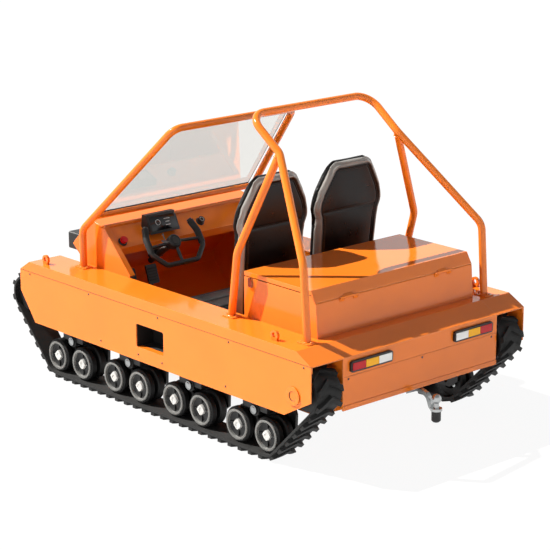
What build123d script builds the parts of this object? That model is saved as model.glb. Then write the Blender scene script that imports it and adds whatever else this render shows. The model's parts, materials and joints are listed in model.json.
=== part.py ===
from build123d import *
import math
import os

# Tracked two-seat all-terrain vehicle, in millimetres.
# +X points forward, +Y to the driver's left and +Z up; the ground is z = 0.

# Sheet metal and fits
PLATE = 5.0                 # body sheet, whole wall
FIT = 0.3                   # gap between a shaft and its bore
SEAM = 5.0                  # open gap round the engine lid
TUBE_R = 20.0               # roll frame and windscreen tubes

# Fenders and side skirts
SKIRT_CLEAR = 23.0          # track to skirt
SKIRT_X = 1192.0            # front and rear edge of a skirt
DECK_Z = 632.0              # top of the decks
CREASE_Z = 577.0            # fold between deck flange and skirt
DECK_FRONT_X = 1104.0
DECK_REAR_X = -1087.0
SKIRT_LOW_Z = 292.0
SKIRT_FRONT_Z = 456.0       # lower end of the front edge
SKIRT_REAR_Z = 397.0        # lower end of the rear edge
SKIRT_LOW_FRONT_X = 1063.0
SKIRT_LOW_REAR_X = -1001.0
BACKING = 32.0              # strip behind the skirt's top edge
CREASE_GAP = 1.5

# Step opening in each skirt, with its tray
STEP_X = 36.0
STEP_Z = 430.0
STEP_LONG = 226.0
STEP_TALL = 126.0
STEP_DEEP = 110.0
STEP_WALL = 4.0

# Ringed access cap near the rear of each skirt
CAP_X = -1068.0
CAP_Z = 405.0
CAP_R = 46.0
CAP_INNER_R = 25.0
CAP_PROUD = 7.0

# Hull tub
HULL_Y = 543.0              # outer face of the hull sides
BELLY_Z = 236.0
BELLY_FRONT_X = 850.0
BELLY_REAR_X = -1005.0
STERN_LOW_Z = 318.0
BOW_X = 1060.0
BOW_LOW_Z = 420.0
BOW_HIGH_Z = 490.0
BULKHEAD_X = -480.0         # cockpit side of the wall behind the seats

# Rear panels and lamps
PANEL_SEAM_Z = 478.0
LAMP_Y = 359.0
LAMP_Z = 525.0
LAMP_LONG = 282.0
LAMP_TALL = 56.0
LAMP_DEEP = 14.0
LENS_PROUD = 3.0
LAMP_ROUND = 14.0
LENS_EDGE = 9.0
LENS_SPLIT = 2.0            # between the lenses

# Engine box and lid
BOX_OVER = 4.0              # box sides outside the hull sides
BOX_TOP_Z = 866.0
BOX_REAR_X = -1019.0        # at the deck
LID_REAR_X = -970.0         # where the lid bends down
BEVEL_X = -1005.0           # lower edge of the lid's bevel
BEVEL_Z = 808.0
LID_SHEET = 4.0
LID_LIP = 22.0
HINGE_R = 5.0
HINGE_PIN_R = 2.5
HINGE_LONG = 60.0           # lid knuckle
HINGE_SIDE = 30.0           # each fixed knuckle
HINGE_LEAF = 16.0
HINGE_OUT = 1.0             # leaf between knuckle and wall
LATCH_X = -533.0
LATCH_WIDE = 28.0
LATCH_TALL = 46.0
LATCH_THICK = 10.0
LATCH_ROUND = 5.0
HINGE_Y = 330.0
ENGINE_LONG = 400.0
ENGINE_WIDE = 620.0
ENGINE_TALL = 520.0

# Cowl and dash
COWL_NOSE_X = 979.0
COWL_NOSE_Z = 728.0
COWL_FOOT_X = 907.0
COWL_FOOT_Z = 665.0
COWL_TOP_X = 815.0
COWL_TOP_Z = 888.0
COWL_REAR_X = 695.0
COWL_REAR_Z = 862.0
COWL_LOW_X = 472.0
DASH_LOW_X = 593.0
DASH_LOW_Z = 765.0
DASH_HIGH_X = 700.0
DASH_HIGH_Z = 866.0
DASH_ROLL_R = 12.0

# Steering
STEER_X = 425.0
STEER_Z = 795.0
STEER_RAKE = 35.0           # column below the horizontal
SHAFT_R = 10.0
BRACKET_LONG = 44.0
BRACKET_WIDE = 70.0
DASH_SKIRT = 40.0           # turned-down edge of the dash
COLUMN_R = 18.0
COLUMN_START = 60.0         # along the axis from the yoke hub
COLUMN_END = 260.0
YOKE_R = 14.0
YOKE_WIDE = 190.0           # middle to the outside of the grips
YOKE_HORN = (150.0, 108.0)  # tip of a grip, sideways and up from the hub
YOKE_GRIP_HIGH = 40.0
YOKE_GRIP_LOW = -50.0
YOKE_FOOT = (105.0, -125.0) # corner of the lower bar
YOKE_BEND = 34.0
YOKE_HUB_R = 38.0
YOKE_HUB_DEEP = 26.0
SPOKE_R = 9.0
SPOKE_DROP = -10.0
SHAFT_IN = 180.0            # shaft inside the column

# Dash fittings and pedals
DISPLAY_X = 585.0           # lower edge of its face
DISPLAY_Y = 196.0
DISPLAY_LOW_Z = 806.0
DISPLAY_HIGH_Z = 905.0
DISPLAY_WIDE = 204.0
DISPLAY_DEEP = 30.0
DISPLAY_LEAN = 50.0         # top edge of the face ahead of its lower edge
DISPLAY_FOOT = 32.0         # height of its seat on the dash
KNOB_UP = 60.0              # up the dash slope from its lower edge
KNOB_Y = -90.0
KNOB_R = 19.0
KNOB_DEEP = 26.0
STOP_UP = 36.0
STOP_Y = 468.0
STOP_R = 20.0
STOP_STEM_R = 14.0
STOP_DEEP = 14.0
PEDAL_X = 760.0
PEDAL_OFFSETS = (-94.0, 56.0)  # from the middle of the driver's seat
PEDAL_POST_LONG = 16.0
PEDAL_POST_WIDE = 22.0
PEDAL_POST_TALL = 300.0
PAD_WIDE = 72.0
PAD_TALL = 110.0
PAD_ROUND = 8.0
PAD_THICK = 12.0
PAD_LEAN = 20.0             # degrees from upright
PAD_DROP = 15.0             # pad middle below the post's top

# Seats
SEAT_SIDE_GAP = 29.0        # seat to the inside of the tub
SEAT_MID_GAP = 38.0         # between the seats
SEAT_ROUND = 50.0
SEAT_FRONT_X = 140.0
CUSHION_Z = 597.0
CUSHION_THICK = 117.0
BACK_TOP_Z = 1305.0
BACK_THICK = 105.0
BACK_EDGE = 62.0            # thickness at the outline
BACK_TAPER = 38.0           # slope of the padding from the edge to the front, degrees
BACK_RAKE = 6.0
SEAT_GAP = 4.0              # cushion to back
BACK_GAP = 54.0             # top of a back to the wall behind it
BASE_SETBACK = 40.0         # seat base behind the cushions' front

# Windscreen frame and roll frame, as corner points of the tube axes
SCREEN_FOOT_X = 810.0
SCREEN_FOOT_OUT = 49.0      # foot outside the hull side
SCREEN_KNEE_Z = 845.0
SCREEN_TOP_Y = 420.0
SCREEN_TOP_Z = 1466.0
SCREEN_LEAN = 593.0 / 621.0     # run back for each millimetre of rise above the knee
SCREEN_BEND = 70.0
BAR_RISE = 0.13             # dash bar, as a share of the pillar from knee to top
BAR_R = 16.0
GLASS_THICK = 5.0
GLASS_OVER = 24.0           # glass above the header tube
GLASS_LOW_IN = 25.0         # glass edge inside the pillars, below and above
GLASS_TOP_IN = 20.0
HOOP_FOOT_X = -1026.0
HOOP_FOOT_OUT = 79.0
HOOP_KNEE = (-1000.0, 622.0, 1006.0)
HOOP_JOIN = (-592.0, 407.0, 1461.0)
HOOP_TOP = (-370.0, 412.0, 1623.0)
HOOP_BEND = 90.0
HOOP_TOP_BEND = 95.0
BRACE_KNEE = (-515.0, 621.0, 979.0)
BRACE_FOOT_X = -442.0
BRACE_FOOT_OUT = 54.0
FOOT_LONG = 90.0
FOOT_WIDE = 64.0
FOOT_THICK = 6.0
FOOT_ROUND = 10.0
FOOT_BOLT_R = 5.5
FOOT_BOLT_SPAN = 64.0

# Lamps on the nose and lifting eyes on the decks
HEADLAMP_IN = 68.0          # lamp's middle inside the tub side
HEADLAMP_WIDE = 120.0
HEADLAMP_TALL = 96.0
HEADLAMP_ROUND = 10.0
HEADLAMP_RISE = 8.0
HEADLAMP_BACK = 40.0
HEADLAMP_DEEP = 90.0
EYE_FRONT_X = 1002.0
EYE_REAR_X = -888.0
EYE_OUT = 163.0             # eye's middle outside the hull side
EYE_R = 26.0
EYE_HOLE_R = 13.0
EYE_HOLE_RISE = 28.0        # above the deck
EYE_FOOT = 40.0
EYE_THICK = 14.0

# Tracks and running gear, left side; the right side mirrors it
TRACK_CLEAR = 20.0          # hull side to track
TRACK_WIDE = 159.0
BELT = 12.0
LUG = 20.0                  # height of a chevron lug
LUG_LONG = 28.0             # along the belt
LUG_PITCH = 78.0
LUG_SWEEP = 50.0            # apex ahead of the ends
LUG_EDGE = 3.0              # end of a lug to the belt's edge
LUG_ROOT = 9.0              # lug's root inside the belt
LUG_SPARE = 5.0             # trimmed off at the tips
WHEEL_R = 92.0
TYRE = 13.0                 # rubber bonded round a road wheel
WHEEL_IN = 33.0             # track's inner edge to a road wheel
WHEEL_OUT = 16.0            # wheel's face to the track's outer edge
RIM_PROUD = 6.0
DISH_R = 62.0
DISH_DEEP = 18.0
HUB_WIDE = 40.0
HUB_BACK = 3.0              # hub behind the rim's face
AXLE_R = 12.0
WHEEL_HALF_GAP = 110.0      # a road wheel from its bogie's pivot
BOGIE_PITCH = 507.0
BOGIE_MID_X = 55.0
BOGIES = 4
BEAM_IN = 7.0               # track's inner edge to a bogie plate
BEAM_THICK = 16.0
BLOCK_HALF = 88.0           # pivot block, half its length
BLOCK_DEEP = 90.0
BLOCK_CLEAR = 8.0           # above the road wheels
BLOCK_TOP_Z = 300.0
PIVOT_Z = 226.0
PIVOT_R = 16.0
PIVOT_HUB_R = 33.0
PIVOT_HUB_DEEP = 94.0
PIVOT_CAP_R = 22.0
PIVOT_CAP_DEEP = 10.0
RAIL_THICK = 14.0
RAIL_LOW_Z = 214.0
RAIL_HIGH_Z = 290.0
RAIL_OVER = 60.0            # rail past the end pivots
END_R = 92.0
END_EDGE = 25.0             # end wheel inside the track's edges
IDLER = (1200.0, 420.0)
SPROCKET = (-1103.0, 412.0)
END_AXLE_R = 20.0
ARM_ROOT = (930.0, 420.0)   # where an idler's arm is fixed to the hull
ARM_ROOT_R = 45.0
ARM_TIP_R = 36.0

# Tow hitch
HITCH_X = -1294.0
BALL_R = 25.0
BALL_Z = 274.0
SHANK_R = 14.0
COLLAR_R = 30.0
COLLAR_CLEAR = 60.0         # neck cut away above and below the collar
COLLAR_LOW_Z = 213.0
COLLAR_HIGH_Z = 226.0
HITCH_CAP_R = 24.0
HITCH_CAP_LOW_Z = 154.0
HITCH_CAP_EDGE = 8.0
NECK_SIDE = 22.0           # square neck bar
NECK_ON_HULL = (110.0, 25.0)  # along the stern ramp from its top edge
NECK_BEND = (-1238.0, 280.0)
NECK_BEND_R = 40.0
NECK_TOE_IN = 32.0          # lower bend before the ball's axis
NECK_TOE_R = 18.0
PANEL_DROP = 8.0            # lower panel below the stern ramp

# Derived values
WHEEL_Z = BELT + LUG + WHEEL_R
TRACK_Y_IN = HULL_Y + TRACK_CLEAR
TRACK_Y_OUT = TRACK_Y_IN + TRACK_WIDE
TRACK_MID_Y = (TRACK_Y_IN + TRACK_Y_OUT) / 2
SKIRT_Y = TRACK_Y_OUT + SKIRT_CLEAR + PLATE
BOX_Y = HULL_Y + BOX_OVER
SCREEN_FOOT = (SCREEN_FOOT_X, HULL_Y + SCREEN_FOOT_OUT)
SCREEN_TOP_X = SCREEN_FOOT_X - (SCREEN_TOP_Z - SCREEN_KNEE_Z) * SCREEN_LEAN
SCREEN_TOP = (SCREEN_TOP_X, SCREEN_TOP_Y, SCREEN_TOP_Z)
HOOP_FOOT = (HOOP_FOOT_X, HULL_Y + HOOP_FOOT_OUT)
BRACE_FOOT = (BRACE_FOOT_X, HULL_Y + BRACE_FOOT_OUT)
BOGIE_X = [BOGIE_MID_X + BOGIE_PITCH * (1.5 - i) for i in range(BOGIES)]
WHEEL_X = [x + s * WHEEL_HALF_GAP for x in BOGIE_X for s in (1, -1)]
SIDES = (1, -1)
DECK_LOW_Z = DECK_Z - PLATE
TUB_Y = HULL_Y - PLATE
SEAT_WIDE = TUB_Y - SEAT_SIDE_GAP - SEAT_MID_GAP / 2
SEAT_Y = (SEAT_WIDE + SEAT_MID_GAP) / 2
PANEL_X = -SKIRT_X
TUB_REAR_X = PANEL_X + PLATE
FLOOR_Z = BELLY_Z + PLATE

os.makedirs("parts", exist_ok=True)


def across(y):
    """Plane of a side view at this y; it extrudes towards the right side."""
    return Plane.XZ.offset(-y)


def span(side, low, high):
    """Plane and thickness for a side view plate between two distances from the middle."""
    return across(high if side > 0 else -low), high - low


def bent_line(points, bends):
    """Lines and tangent arcs through corner points, one radius for each bend."""
    corner = [Vector(*p) for p in points]
    start = corner[0]
    for before, here, after, bend in zip(corner, corner[1:], corner[2:], bends):
        u = (before - here).normalized()
        v = (after - here).normalized()
        half = math.radians(u.get_angle(v)) / 2
        back = bend / math.tan(half)
        mid = here + (u + v).normalized() * (bend / math.sin(half) - bend)
        Line(start, here + u * back)
        ThreePointArc(here + u * back, mid, here + v * back)
        start = here + v * back
    Line(start, corner[-1])


def mirror_point(p):
    return (p[0], -p[1], p[2])


def save(name, builder):
    builder.part.label = name
    export_step(builder.part, "parts/" + name + ".step")


# Hull tub: belly, sides, bow and stern ramp, with the wall behind the seats
tub_outer = [
    (TUB_REAR_X, STERN_LOW_Z),
    (BELLY_REAR_X, BELLY_Z),
    (BELLY_FRONT_X, BELLY_Z),
    (BOW_X, BOW_LOW_Z),
    (BOW_X, BOW_HIGH_Z),
    (COWL_FOOT_X, DECK_LOW_Z),
    (DECK_REAR_X, DECK_LOW_Z),
    (TUB_REAR_X, CREASE_Z - PLATE),
]
tub_inner = [
    (TUB_REAR_X - PLATE, STERN_LOW_Z + PLATE),
    (BELLY_REAR_X, FLOOR_Z),
    (BELLY_FRONT_X - PLATE / 2, FLOOR_Z),
    (BOW_X - PLATE, BOW_LOW_Z + PLATE / 2),
    (BOW_X - PLATE, BOW_HIGH_Z - PLATE / 2),
    (COWL_FOOT_X - PLATE, DECK_LOW_Z - PLATE / 2),
    (COWL_FOOT_X - PLATE, DECK_Z),
    (TUB_REAR_X - PLATE, DECK_Z),
]
with BuildPart() as hull_tub:
    with BuildSketch(across(HULL_Y)):
        Polygon(*tub_outer, align=None)
    extrude(amount=2 * HULL_Y)
    with BuildSketch(across(TUB_Y)):
        Polygon(*tub_inner, align=None)
    extrude(amount=2 * TUB_Y, mode=Mode.SUBTRACT)
    with BuildSketch(Plane.XY.offset(FLOOR_Z)):
        with Locations((BULKHEAD_X - PLATE / 2, 0)):
            Rectangle(PLATE, 2 * TUB_Y)
    extrude(amount=DECK_LOW_Z - FLOOR_Z)
save("hull_tub", hull_tub)

# Rear deck strip and slope between the fenders
with BuildPart() as rear_deck:
    with BuildSketch(across(TUB_Y)):
        Polygon(
            (BOX_REAR_X + PLATE, DECK_Z), (DECK_REAR_X, DECK_Z), (PANEL_X, CREASE_Z),
            (PANEL_X, CREASE_Z - PLATE), (DECK_REAR_X, DECK_LOW_Z), (BOX_REAR_X + PLATE, DECK_LOW_Z),
            align=None)
    extrude(amount=2 * TUB_Y)
save("rear_deck", rear_deck)

# Rear panels: name, low z, high z
panel_rows = [
    ("rear_panel_upper", PANEL_SEAM_Z + CREASE_GAP, CREASE_Z - PLATE),
    ("rear_panel_lower", STERN_LOW_Z - PANEL_DROP, PANEL_SEAM_Z),
]
for name, low, high in panel_rows:
    with BuildPart() as rear_panel:
        with BuildSketch(Plane.XY.offset(low)):
            with Locations((PANEL_X + PLATE / 2, 0)):
                Rectangle(PLATE, 2 * HULL_Y)
        extrude(amount=high - low)
    save(name, rear_panel)

# Fenders: deck, end slopes, outer flange and the strip behind the skirt
deck_edge = [(SKIRT_X, CREASE_Z), (DECK_FRONT_X, DECK_Z), (DECK_REAR_X, DECK_Z), (PANEL_X, CREASE_Z)]
deck_under = [(x, z - PLATE) for x, z in reversed(deck_edge)]
for name, side in (("fender_left", 1), ("fender_right", -1)):
    with BuildPart() as fender:
        plane, thick = span(side, TUB_Y, SKIRT_Y - PLATE)
        with BuildSketch(plane):
            Polygon(*deck_edge, *deck_under, align=None)
        extrude(amount=thick)
        plane, thick = span(side, SKIRT_Y - PLATE, SKIRT_Y)
        with BuildSketch(plane):
            Polygon(*deck_edge, align=None)
        extrude(amount=thick)
        plane, thick = span(side, SKIRT_Y - 2 * PLATE, SKIRT_Y - PLATE)
        with BuildSketch(plane):
            Polygon(*deck_edge, (PANEL_X, CREASE_Z - BACKING), (SKIRT_X, CREASE_Z - BACKING), align=None)
        extrude(amount=thick)
    save(name, fender)

# Side skirts, with the step opening and the hole behind the access cap
skirt_edge = [
    (SKIRT_X, CREASE_Z - CREASE_GAP),
    (SKIRT_X, SKIRT_FRONT_Z),
    (SKIRT_LOW_FRONT_X, SKIRT_LOW_Z),
    (SKIRT_LOW_REAR_X, SKIRT_LOW_Z),
    (PANEL_X, SKIRT_REAR_Z),
    (PANEL_X, CREASE_Z - CREASE_GAP),
]
for name, side in (("skirt_left", 1), ("skirt_right", -1)):
    with BuildPart() as skirt:
        plane, thick = span(side, SKIRT_Y - PLATE, SKIRT_Y)
        with BuildSketch(plane):
            Polygon(*skirt_edge, align=None)
            with Locations((STEP_X, STEP_Z)):
                Rectangle(STEP_LONG, STEP_TALL, mode=Mode.SUBTRACT)
            with Locations((CAP_X, CAP_Z)):
                Circle(CAP_INNER_R, mode=Mode.SUBTRACT)
        extrude(amount=thick)
    save(name, skirt)

# Step trays behind the openings
with BuildPart() as step_trays:
    for side in SIDES:
        plane, thick = span(side, SKIRT_Y - PLATE - STEP_DEEP, SKIRT_Y - PLATE)
        with BuildSketch(plane):
            with Locations((STEP_X, STEP_Z)):
                Rectangle(STEP_LONG + 2 * STEP_WALL, STEP_TALL + 2 * STEP_WALL)
        extrude(amount=thick)
        plane, thick = span(side, SKIRT_Y - PLATE - STEP_DEEP + STEP_WALL, SKIRT_Y - PLATE)
        with BuildSketch(plane):
            with Locations((STEP_X, STEP_Z)):
                Rectangle(STEP_LONG, STEP_TALL)
        extrude(amount=thick, mode=Mode.SUBTRACT)
save("step_trays", step_trays)

# Ringed caps on the skirts
with BuildPart() as skirt_caps:
    for side in SIDES:
        plane, thick = span(side, SKIRT_Y, SKIRT_Y + CAP_PROUD)
        with BuildSketch(plane):
            with Locations((CAP_X, CAP_Z)):
                Circle(CAP_R)
                Circle(CAP_INNER_R, mode=Mode.SUBTRACT)
        extrude(amount=thick)
        plane, thick = span(side, SKIRT_Y - PLATE, SKIRT_Y + CAP_PROUD / 2)
        with BuildSketch(plane):
            with Locations((CAP_X, CAP_Z)):
                Circle(CAP_INNER_R)
        extrude(amount=thick)
save("skirt_caps", skirt_caps)

# Engine box: four walls below the lid
lid_low_z = BOX_TOP_Z - LID_LIP
wall_top_z = lid_low_z - SEAM
rear_lean = (BOX_REAR_X - BEVEL_X) / (DECK_Z - BEVEL_Z)
box_rear_top_x = BEVEL_X + rear_lean * -SEAM
box_side = [
    (BULKHEAD_X, DECK_Z),
    (BULKHEAD_X, wall_top_z),
    (LID_REAR_X - PLATE, wall_top_z),
    (box_rear_top_x, BEVEL_Z - SEAM),
    (BOX_REAR_X, DECK_Z),
]
box_inside = [
    (BULKHEAD_X - PLATE, DECK_Z - PLATE),
    (BULKHEAD_X - PLATE, BOX_TOP_Z),
    (box_rear_top_x + PLATE, BOX_TOP_Z),
    (box_rear_top_x + PLATE, BEVEL_Z - SEAM),
    (BOX_REAR_X + PLATE, DECK_Z),
    (BOX_REAR_X + PLATE, DECK_Z - PLATE),
]
hinge_x = box_rear_top_x - HINGE_R - HINGE_OUT
hinge_z = BEVEL_Z - SEAM / 2
with BuildPart() as engine_box:
    with BuildSketch(across(BOX_Y)):
        Polygon(*box_side, align=None)
    extrude(amount=2 * BOX_Y)
    with BuildSketch(across(BOX_Y - PLATE)):
        Polygon(*box_inside, align=None)
    extrude(amount=2 * (BOX_Y - PLATE), mode=Mode.SUBTRACT)
save("engine_box", engine_box)

# Engine lid: a folded cover with a bevel at the rear
lid_outer = [
    (BULKHEAD_X, lid_low_z), (BULKHEAD_X, BOX_TOP_Z), (LID_REAR_X, BOX_TOP_Z),
    (BEVEL_X, BEVEL_Z), (LID_REAR_X - PLATE, lid_low_z),
]
bevel_angle = math.atan2(BOX_TOP_Z - BEVEL_Z, LID_REAR_X - BEVEL_X)
lid_inset = LID_SHEET / math.tan(math.radians(90) - bevel_angle / 2)
lid_inner = [
    (BULKHEAD_X - LID_SHEET, BEVEL_Z - LID_LIP),
    (BULKHEAD_X - LID_SHEET, BOX_TOP_Z - LID_SHEET),
    (LID_REAR_X + lid_inset, BOX_TOP_Z - LID_SHEET),
    (BEVEL_X + LID_SHEET / math.sin(bevel_angle), BEVEL_Z),
    (BEVEL_X + LID_SHEET / math.sin(bevel_angle), BEVEL_Z - LID_LIP),
]
with BuildPart() as engine_lid:
    with BuildSketch(across(BOX_Y)):
        Polygon(*lid_outer, align=None)
    extrude(amount=2 * BOX_Y)
    with BuildSketch(across(BOX_Y - LID_SHEET)):
        Polygon(*lid_inner, align=None)
    extrude(amount=2 * (BOX_Y - LID_SHEET), mode=Mode.SUBTRACT)
    for side in SIDES:
        with BuildSketch(across(side * HINGE_Y + HINGE_LONG / 2)):
            with Locations((hinge_x, hinge_z)):
                Circle(HINGE_R)
            Polygon(
                (BEVEL_X, BEVEL_Z), (BEVEL_X + HINGE_LEAF * math.cos(bevel_angle),
                                     BEVEL_Z + HINGE_LEAF * math.sin(bevel_angle)),
                (hinge_x, hinge_z + HINGE_R), (hinge_x, hinge_z + HINGE_PIN_R), align=None)
            with Locations((hinge_x, hinge_z)):
                Circle(HINGE_PIN_R + FIT, mode=Mode.SUBTRACT)
        extrude(amount=HINGE_LONG)
save("engine_lid", engine_lid)

# Lid hinges: fixed knuckles with leaves on the box, and the pins
knuckle_reach = HINGE_LONG / 2 + FIT
with BuildPart() as lid_hinges:
    for side in SIDES:
        for end in SIDES:
            knuckle_y = side * HINGE_Y + end * (knuckle_reach + HINGE_SIDE / 2) + HINGE_SIDE / 2
            with BuildSketch(across(knuckle_y)):
                with Locations((hinge_x, hinge_z)):
                    Circle(HINGE_R)
                Polygon(
                    (hinge_x, hinge_z), (box_rear_top_x, BEVEL_Z - SEAM),
                    (box_rear_top_x + rear_lean * -HINGE_LEAF, BEVEL_Z - SEAM - HINGE_LEAF),
                    (box_rear_top_x + rear_lean * -HINGE_LEAF - HINGE_OUT, BEVEL_Z - SEAM - HINGE_LEAF),
                    (hinge_x - HINGE_PIN_R, hinge_z - HINGE_R / 2), align=None)
            extrude(amount=HINGE_SIDE)
        with BuildSketch(across(side * HINGE_Y + knuckle_reach + HINGE_SIDE)):
            with Locations((hinge_x, hinge_z)):
                Circle(HINGE_PIN_R)
        extrude(amount=2 * (knuckle_reach + HINGE_SIDE))
save("lid_hinges", lid_hinges)

# Latches on the box sides, just below the lid
with BuildPart() as lid_latches:
    for side in SIDES:
        plane, thick = span(side, BOX_Y, BOX_Y + LATCH_THICK)
        with BuildSketch(plane):
            with Locations((LATCH_X, wall_top_z - LATCH_TALL / 2)):
                RectangleRounded(LATCH_WIDE, LATCH_TALL, LATCH_ROUND)
        extrude(amount=thick)
save("lid_latches", lid_latches)

# Engine, one plain block on the hull floor
with BuildPart() as engine_block:
    with BuildSketch(Plane.XY.offset(FLOOR_Z)):
        with Locations(((BULKHEAD_X + BOX_REAR_X) / 2, 0)):
            Rectangle(ENGINE_LONG, ENGINE_WIDE)
    extrude(amount=ENGINE_TALL)
save("engine_block", engine_block)

# Cowl: two side plates, nose plates and the front plate up to the dash bar
cowl_side = [
    (COWL_LOW_X, DECK_Z), (COWL_REAR_X, COWL_REAR_Z), (COWL_TOP_X, COWL_TOP_Z),
    (COWL_NOSE_X, COWL_NOSE_Z), (COWL_FOOT_X, COWL_FOOT_Z), (COWL_FOOT_X, DECK_LOW_Z),
    (COWL_LOW_X, DECK_LOW_Z),
]
cowl_hollow = [
    (COWL_LOW_X - PLATE, DECK_LOW_Z - PLATE), (COWL_LOW_X - PLATE, COWL_TOP_Z + PLATE),
    (COWL_TOP_X - 1.4 * PLATE, COWL_TOP_Z + PLATE), (COWL_TOP_X - 1.4 * PLATE, COWL_TOP_Z),
    (COWL_NOSE_X - 1.4 * PLATE, COWL_NOSE_Z),
    (COWL_FOOT_X - PLATE, COWL_FOOT_Z + PLATE / 2), (COWL_FOOT_X - PLATE, DECK_LOW_Z - PLATE),
]
with BuildPart() as front_cowl:
    with BuildSketch(across(TUB_Y)):
        Polygon(*cowl_side, align=None)
    extrude(amount=2 * TUB_Y)
    with BuildSketch(across(TUB_Y - PLATE)):
        Polygon(*cowl_hollow, align=None)
    extrude(amount=2 * (TUB_Y - PLATE), mode=Mode.SUBTRACT)
save("front_cowl", front_cowl)

# Dash face and the shelf ahead of it, between the cowl sides, with a rolled edge where they meet
with BuildPart() as dash_panel:
    dash_plane = across(TUB_Y - PLATE)
    shelf_x = COWL_TOP_X - 1.4 * PLATE
    with BuildSketch(dash_plane):
        with BuildLine():
            Polyline(
                (DASH_LOW_X, DASH_LOW_Z), (DASH_HIGH_X, DASH_HIGH_Z), (shelf_x, COWL_TOP_Z),
                (shelf_x, COWL_TOP_Z - 1.2 * PLATE), (DASH_HIGH_X, DASH_HIGH_Z - 1.2 * PLATE),
                (DASH_LOW_X, DASH_LOW_Z - 1.2 * PLATE), close=True)
        make_face()
        with Locations((DASH_HIGH_X, DASH_HIGH_Z)):
            Circle(DASH_ROLL_R)
        with Locations((DASH_LOW_X, DASH_LOW_Z - DASH_SKIRT / 2)):
            Rectangle(PLATE, DASH_SKIRT)
    extrude(amount=2 * (TUB_Y - PLATE))
save("dash_panel", dash_panel)

# Windscreen frame: one bent tube and the dash bar
screen_knee = (*SCREEN_FOOT, SCREEN_KNEE_Z)
screen_foot = (*SCREEN_FOOT, DECK_Z + FOOT_THICK)
screen_half = [screen_foot, screen_knee, SCREEN_TOP]
screen_path = screen_half + [mirror_point(p) for p in reversed(screen_half)]
bar_end = Vector(*screen_knee) + (Vector(*SCREEN_TOP) - Vector(*screen_knee)) * BAR_RISE
with BuildPart() as windscreen_frame:
    with BuildLine() as screen_line:
        bent_line(screen_path, [SCREEN_BEND] * 4)
    with BuildSketch(Plane.XY.offset(screen_foot[2])):
        with Locations((screen_foot[0], screen_foot[1])):
            Circle(TUBE_R)
    sweep(path=screen_line.line)
    with BuildSketch(across(bar_end.Y)):
        with Locations((bar_end.X, bar_end.Z)):
            Circle(BAR_R)
    extrude(amount=2 * bar_end.Y)
save("windscreen_frame", windscreen_frame)

# Windscreen glass on the front of the header and the dash bar
glass_up = (Vector(SCREEN_TOP[0], 0, SCREEN_TOP[2]) - Vector(bar_end.X, 0, bar_end.Z))
glass_tall = glass_up.length
glass_up = glass_up.normalized()
glass_out = Vector(0, 1, 0).cross(glass_up)
glass_plane = Plane(
    origin=Vector(bar_end.X, 0, bar_end.Z) + glass_out * (TUBE_R + FIT),
    x_dir=(0, 1, 0), z_dir=glass_out)
glass_sign = 1.0 if glass_plane.y_dir.dot(glass_up) > 0 else -1.0
glass_low_y = bar_end.Y - GLASS_LOW_IN
glass_top_y = SCREEN_TOP[1] - GLASS_TOP_IN
with BuildPart() as windscreen_glass:
    with BuildSketch(glass_plane):
        Polygon(
            (-glass_low_y, 0), (glass_low_y, 0), (glass_top_y, glass_sign * (glass_tall + GLASS_OVER)),
            (-glass_top_y, glass_sign * (glass_tall + GLASS_OVER)), align=None)
    extrude(amount=GLASS_THICK)
save("windscreen_glass", windscreen_glass)

# Roll frame: rear hoop and its two braces, welded
hoop_foot = (*HOOP_FOOT, DECK_Z + FOOT_THICK)
hoop_half = [hoop_foot, HOOP_KNEE, HOOP_JOIN, HOOP_TOP]
hoop_path = hoop_half + [mirror_point(p) for p in reversed(hoop_half)]
brace_foot = (*BRACE_FOOT, DECK_Z + FOOT_THICK)
with BuildPart() as roll_frame:
    with BuildLine() as hoop_line:
        hoop_bends = [HOOP_BEND, HOOP_BEND, HOOP_TOP_BEND]
        bent_line(hoop_path, hoop_bends + hoop_bends[::-1])
    hoop_start = Vector(*HOOP_KNEE) - Vector(*hoop_foot)
    with BuildSketch(Plane(origin=hoop_foot, z_dir=hoop_start)):
        Circle(TUBE_R)
    sweep(path=hoop_line.line)
    for side in SIDES:
        brace_points = [(x, side * y, z) for x, y, z in (brace_foot, BRACE_KNEE, HOOP_JOIN)]
        with BuildLine() as brace_line:
            bent_line(brace_points, [HOOP_BEND])
        brace_start = Vector(*brace_points[1]) - Vector(*brace_points[0])
        with BuildSketch(Plane(origin=brace_points[0], z_dir=brace_start)):
            Circle(TUBE_R)
        sweep(path=brace_line.line)
    split(bisect_by=Plane.XY.offset(DECK_Z + FOOT_THICK), keep=Keep.TOP)
save("roll_frame", roll_frame)

# Bolted feet of the tubes
foot_rows = [SCREEN_FOOT, HOOP_FOOT, BRACE_FOOT]
with BuildPart() as frame_feet:
    for x, y in foot_rows:
        for side in SIDES:
            with BuildSketch(Plane.XY.offset(DECK_Z)):
                with Locations((x, side * y)):
                    RectangleRounded(FOOT_LONG, FOOT_WIDE, FOOT_ROUND)
                for end in SIDES:
                    with Locations((x + end * FOOT_BOLT_SPAN / 2, side * y)):
                        Circle(FOOT_BOLT_R, mode=Mode.SUBTRACT)
            extrude(amount=FOOT_THICK)
save("frame_feet", frame_feet)

# Seats: base box, backs and cushions
with BuildPart() as seat_base:
    with BuildSketch(Plane.XY.offset(FLOOR_Z)):
        with Locations(((SEAT_FRONT_X - BASE_SETBACK + BULKHEAD_X) / 2, 0)):
            Rectangle(SEAT_FRONT_X - BASE_SETBACK - BULKHEAD_X, 2 * TUB_Y)
    extrude(amount=CUSHION_Z - CUSHION_THICK - FLOOR_Z)
save("seat_base", seat_base)

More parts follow.
